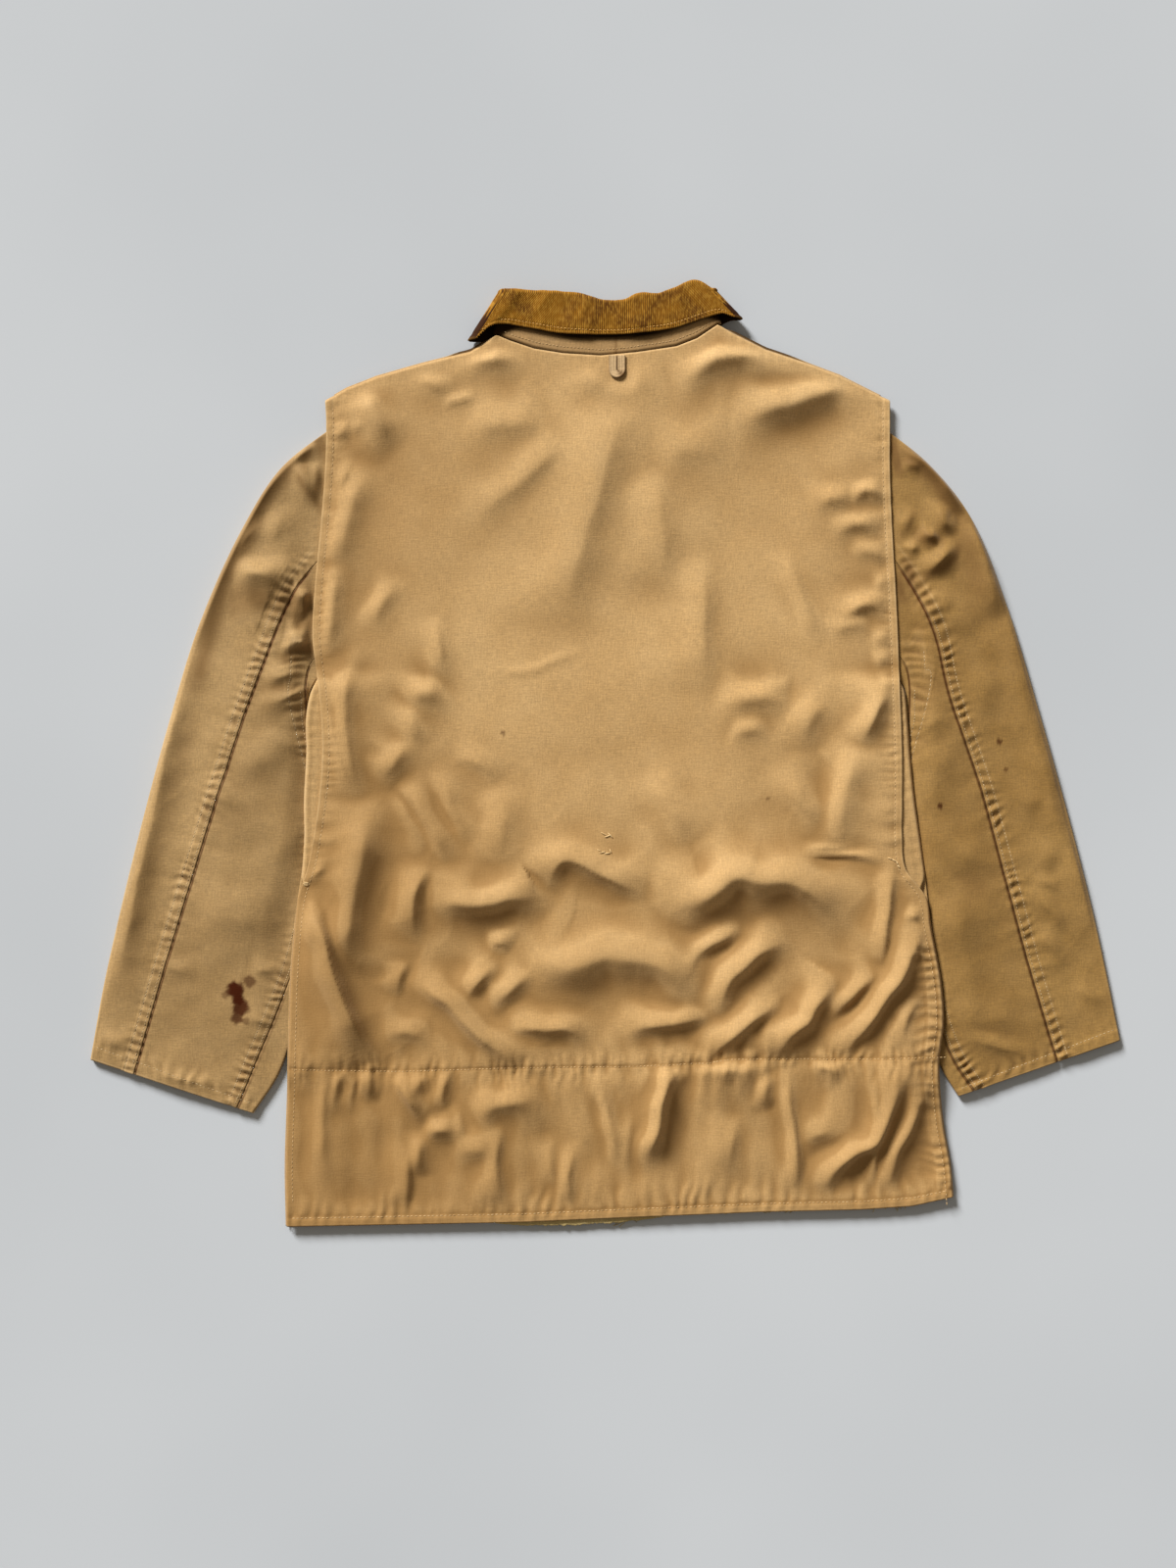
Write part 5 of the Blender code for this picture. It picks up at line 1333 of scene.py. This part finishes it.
def canvas_material(name, dark, middle, pale, stain=None):
    """Worn cotton canvas: uneven fading, yarn slubs both ways, rubbed edges, and painted shade in
    its creases and hollows.
    """
    specular, sheen = 0.35, 0.12
    material, tree, shader = new_material(name, 0.78, specular)
    place, cut = object_place(tree), cloth_place(tree)
    broad, mottled = lumps(tree, place, 6.5), lumps(tree, place, 38.0, 3.0)
    warp = lumps(tree, cut, 1.0, stretch=(950, 105, 1))
    weft = lumps(tree, cut, 1.0, stretch=(105, 950, 1))
    grain = lumps(tree, cut, 620.0, 1.0)
    colour = blend(tree, scaled(tree, broad, 0.36, 0.66), dark, middle)
    colour = blend(tree, scaled(tree, mottled, 0.35, 0.75, 0.0, 0.16), colour, pale)
    yarn = math(tree, "ADD", warp, weft)
    colour = brightened(tree, colour, scaled(tree, yarn, 0.7, 1.3, 0.85, 1.15))
    colour = brightened(tree, colour, scaled(tree, grain, 0.3, 0.7, 0.91, 1.09))
    patchy = scaled(tree, mottled, 0.3, 0.7, 0.35, 1.0)
    colour = blend(tree, math(tree, "MULTIPLY", attribute(tree, "wear"), patchy), colour, pale)
    # painted shade: the colour turns toward a darker brown in hollows, seam grooves and other
    # shaded places
    shade = [part * share for part, share in zip(dark, (0.56, 0.47, 0.29))]
    deep = scaled(tree, attribute(tree, "hollow"), 0.02, 1.0, 0.0, 0.8)
    colour = blend(tree, deep, colour, shade)
    shader.inputs["Sheen Weight"].default_value = sheen
    shader.inputs["Sheen Roughness"].default_value = 0.5
    if stain:       # it has no gloss
        spot = attribute(tree, "stain")
        colour = blend(tree, spot, colour, stain)
        for socket, level in (("Specular IOR Level", specular), ("Sheen Weight", sheen)):
            tree.links.new(scaled(tree, spot, 0, 1, level, 0.0), shader.inputs[socket])
    tree.links.new(colour, shader.inputs["Base Color"])
    set_bump(tree, shader, math(tree, "ADD", yarn, grain), 0.35, 0.00025)
    return material


def corduroy_material():
    """Golden corduroy: painted shade between the wales, paler where it is rubbed."""
    brown, gold, bright = (0.20, 0.072, 0.002), (0.50, 0.212, 0.010), (0.78, 0.40, 0.05)
    # the first of these is the colour of the painted shade between the wales and under the ends
    between, rubbed = (0.035, 0.010, 0.001), (0.62, 0.34, 0.08)
    material, tree, shader = new_material("corduroy", 0.85, 0.15)
    patches = lumps(tree, object_place(tree), 34.0, 3.0)
    streaks = lumps(tree, cloth_place(tree), 1.0, stretch=(620, 150, 1))
    colour = blend(tree, scaled(tree, patches, 0.42, 0.58), brown, gold)
    colour = blend(tree, scaled(tree, streaks, 0.44, 0.66, 0.0, 0.75), colour, bright)
    colour = blend(tree, scaled(tree, attribute(tree, "stain"), -0.25, 0.35), colour, between)
    colour = blend(tree, scaled(tree, attribute(tree, "wear"), 0.0, 1.0, 0.0, 0.25), colour, rubbed)
    tree.links.new(colour, shader.inputs["Base Color"])
    set_bump(tree, shader, streaks, 0.4, 0.0004)
    return material


def two_tone(name, colour, darker, scale, detail, roughness):
    """One colour with soft darker spots."""
    material, tree, shader = new_material(name, roughness)
    spots = lumps(tree, object_place(tree), scale, detail)
    tone = blend(tree, scaled(tree, spots, 0.35, 0.65), darker, colour)
    tree.links.new(tone, shader.inputs["Base Color"])
    return material


def make_stage():
    """A plain pale floor, soft light from beyond the collar, and the camera overhead."""
    scene = bpy.context.scene
    mesh = bpy.data.meshes.new("floor")
    corners = ((-1, -1), (1, -1), (1, 1), (-1, 1))
    mesh.from_pydata([(FLOOR_REACH * x, FLOOR_REACH * y, -FLOOR_DOWN) for x, y in corners], [],
                     [(0, 1, 2, 3)])
    pale, dull = (0.56, 0.585, 0.61), (0.51, 0.535, 0.56)
    mesh.materials.append(two_tone("floor", pale, dull, scale=1.4, detail=3.0, roughness=0.9))
    add_object("floor", mesh)
    left, up = np.radians(SUN_LEFT), np.radians(SUN_UP)
    lamp = bpy.data.lights.new("softbox", "SUN")
    lamp.energy, lamp.angle = SUN_LIGHT, np.radians(SUN_SPREAD)
    toward = Vector((-np.sin(left) * np.cos(up), np.cos(left) * np.cos(up), np.sin(up)))
    softbox = add_object("softbox", lamp)
    softbox.location = toward * 3
    softbox.rotation_euler = toward.to_track_quat("Z", "Y").to_euler()
    scene.view_settings.view_transform = "Standard"
    scene.world = bpy.data.worlds.new("studio")
    scene.world.use_nodes = True
    background = scene.world.node_tree.nodes["Background"]
    background.inputs["Color"].default_value = (1.0, 0.91, 0.78, 1)
    background.inputs["Strength"].default_value = WORLD_LIGHT
    view = bpy.data.cameras.new("camera")
    view.sensor_width = SENSOR
    view.lens = SENSOR * CAMERA_HEIGHT / FRAME_LENGTH
    scene.camera = add_object("camera", view)
    scene.camera.location = (*CAMERA_PLACE, CAMERA_HEIGHT)


def main():
    make_stage()
    canvas = {name: canvas_material(name, *tones) for name, tones in CANVAS.items()}
    thread = {name: two_tone(name, *tones, scale=160.0, detail=2.0, roughness=0.7)
              for name, tones in THREAD.items()}
    outer = make_back(canvas["canvas_back"])
    inner = make_under_back(canvas["canvas_body"])
    fronts = make_fronts(canvas["canvas_body"])
    left_sleeve = make_sleeve("left", canvas["canvas_sleeve"])
    right_sleeve = make_sleeve("right", canvas["canvas_sleeve_right_shaded"])
    collars = make_collar(corduroy_material(), canvas["canvas_stand"], thread["golden_thread"],
                          thread["back_thread"])
    loop = make_loop(canvas["tape"])
    edge = make_lining(canvas["lining_cloth"])
    stitches = make_stitches(*(thread[f"{kind}_thread"] for kind in ("back", "sleeve", "pale")))
    threads = make_threads(thread["fray"])


main()
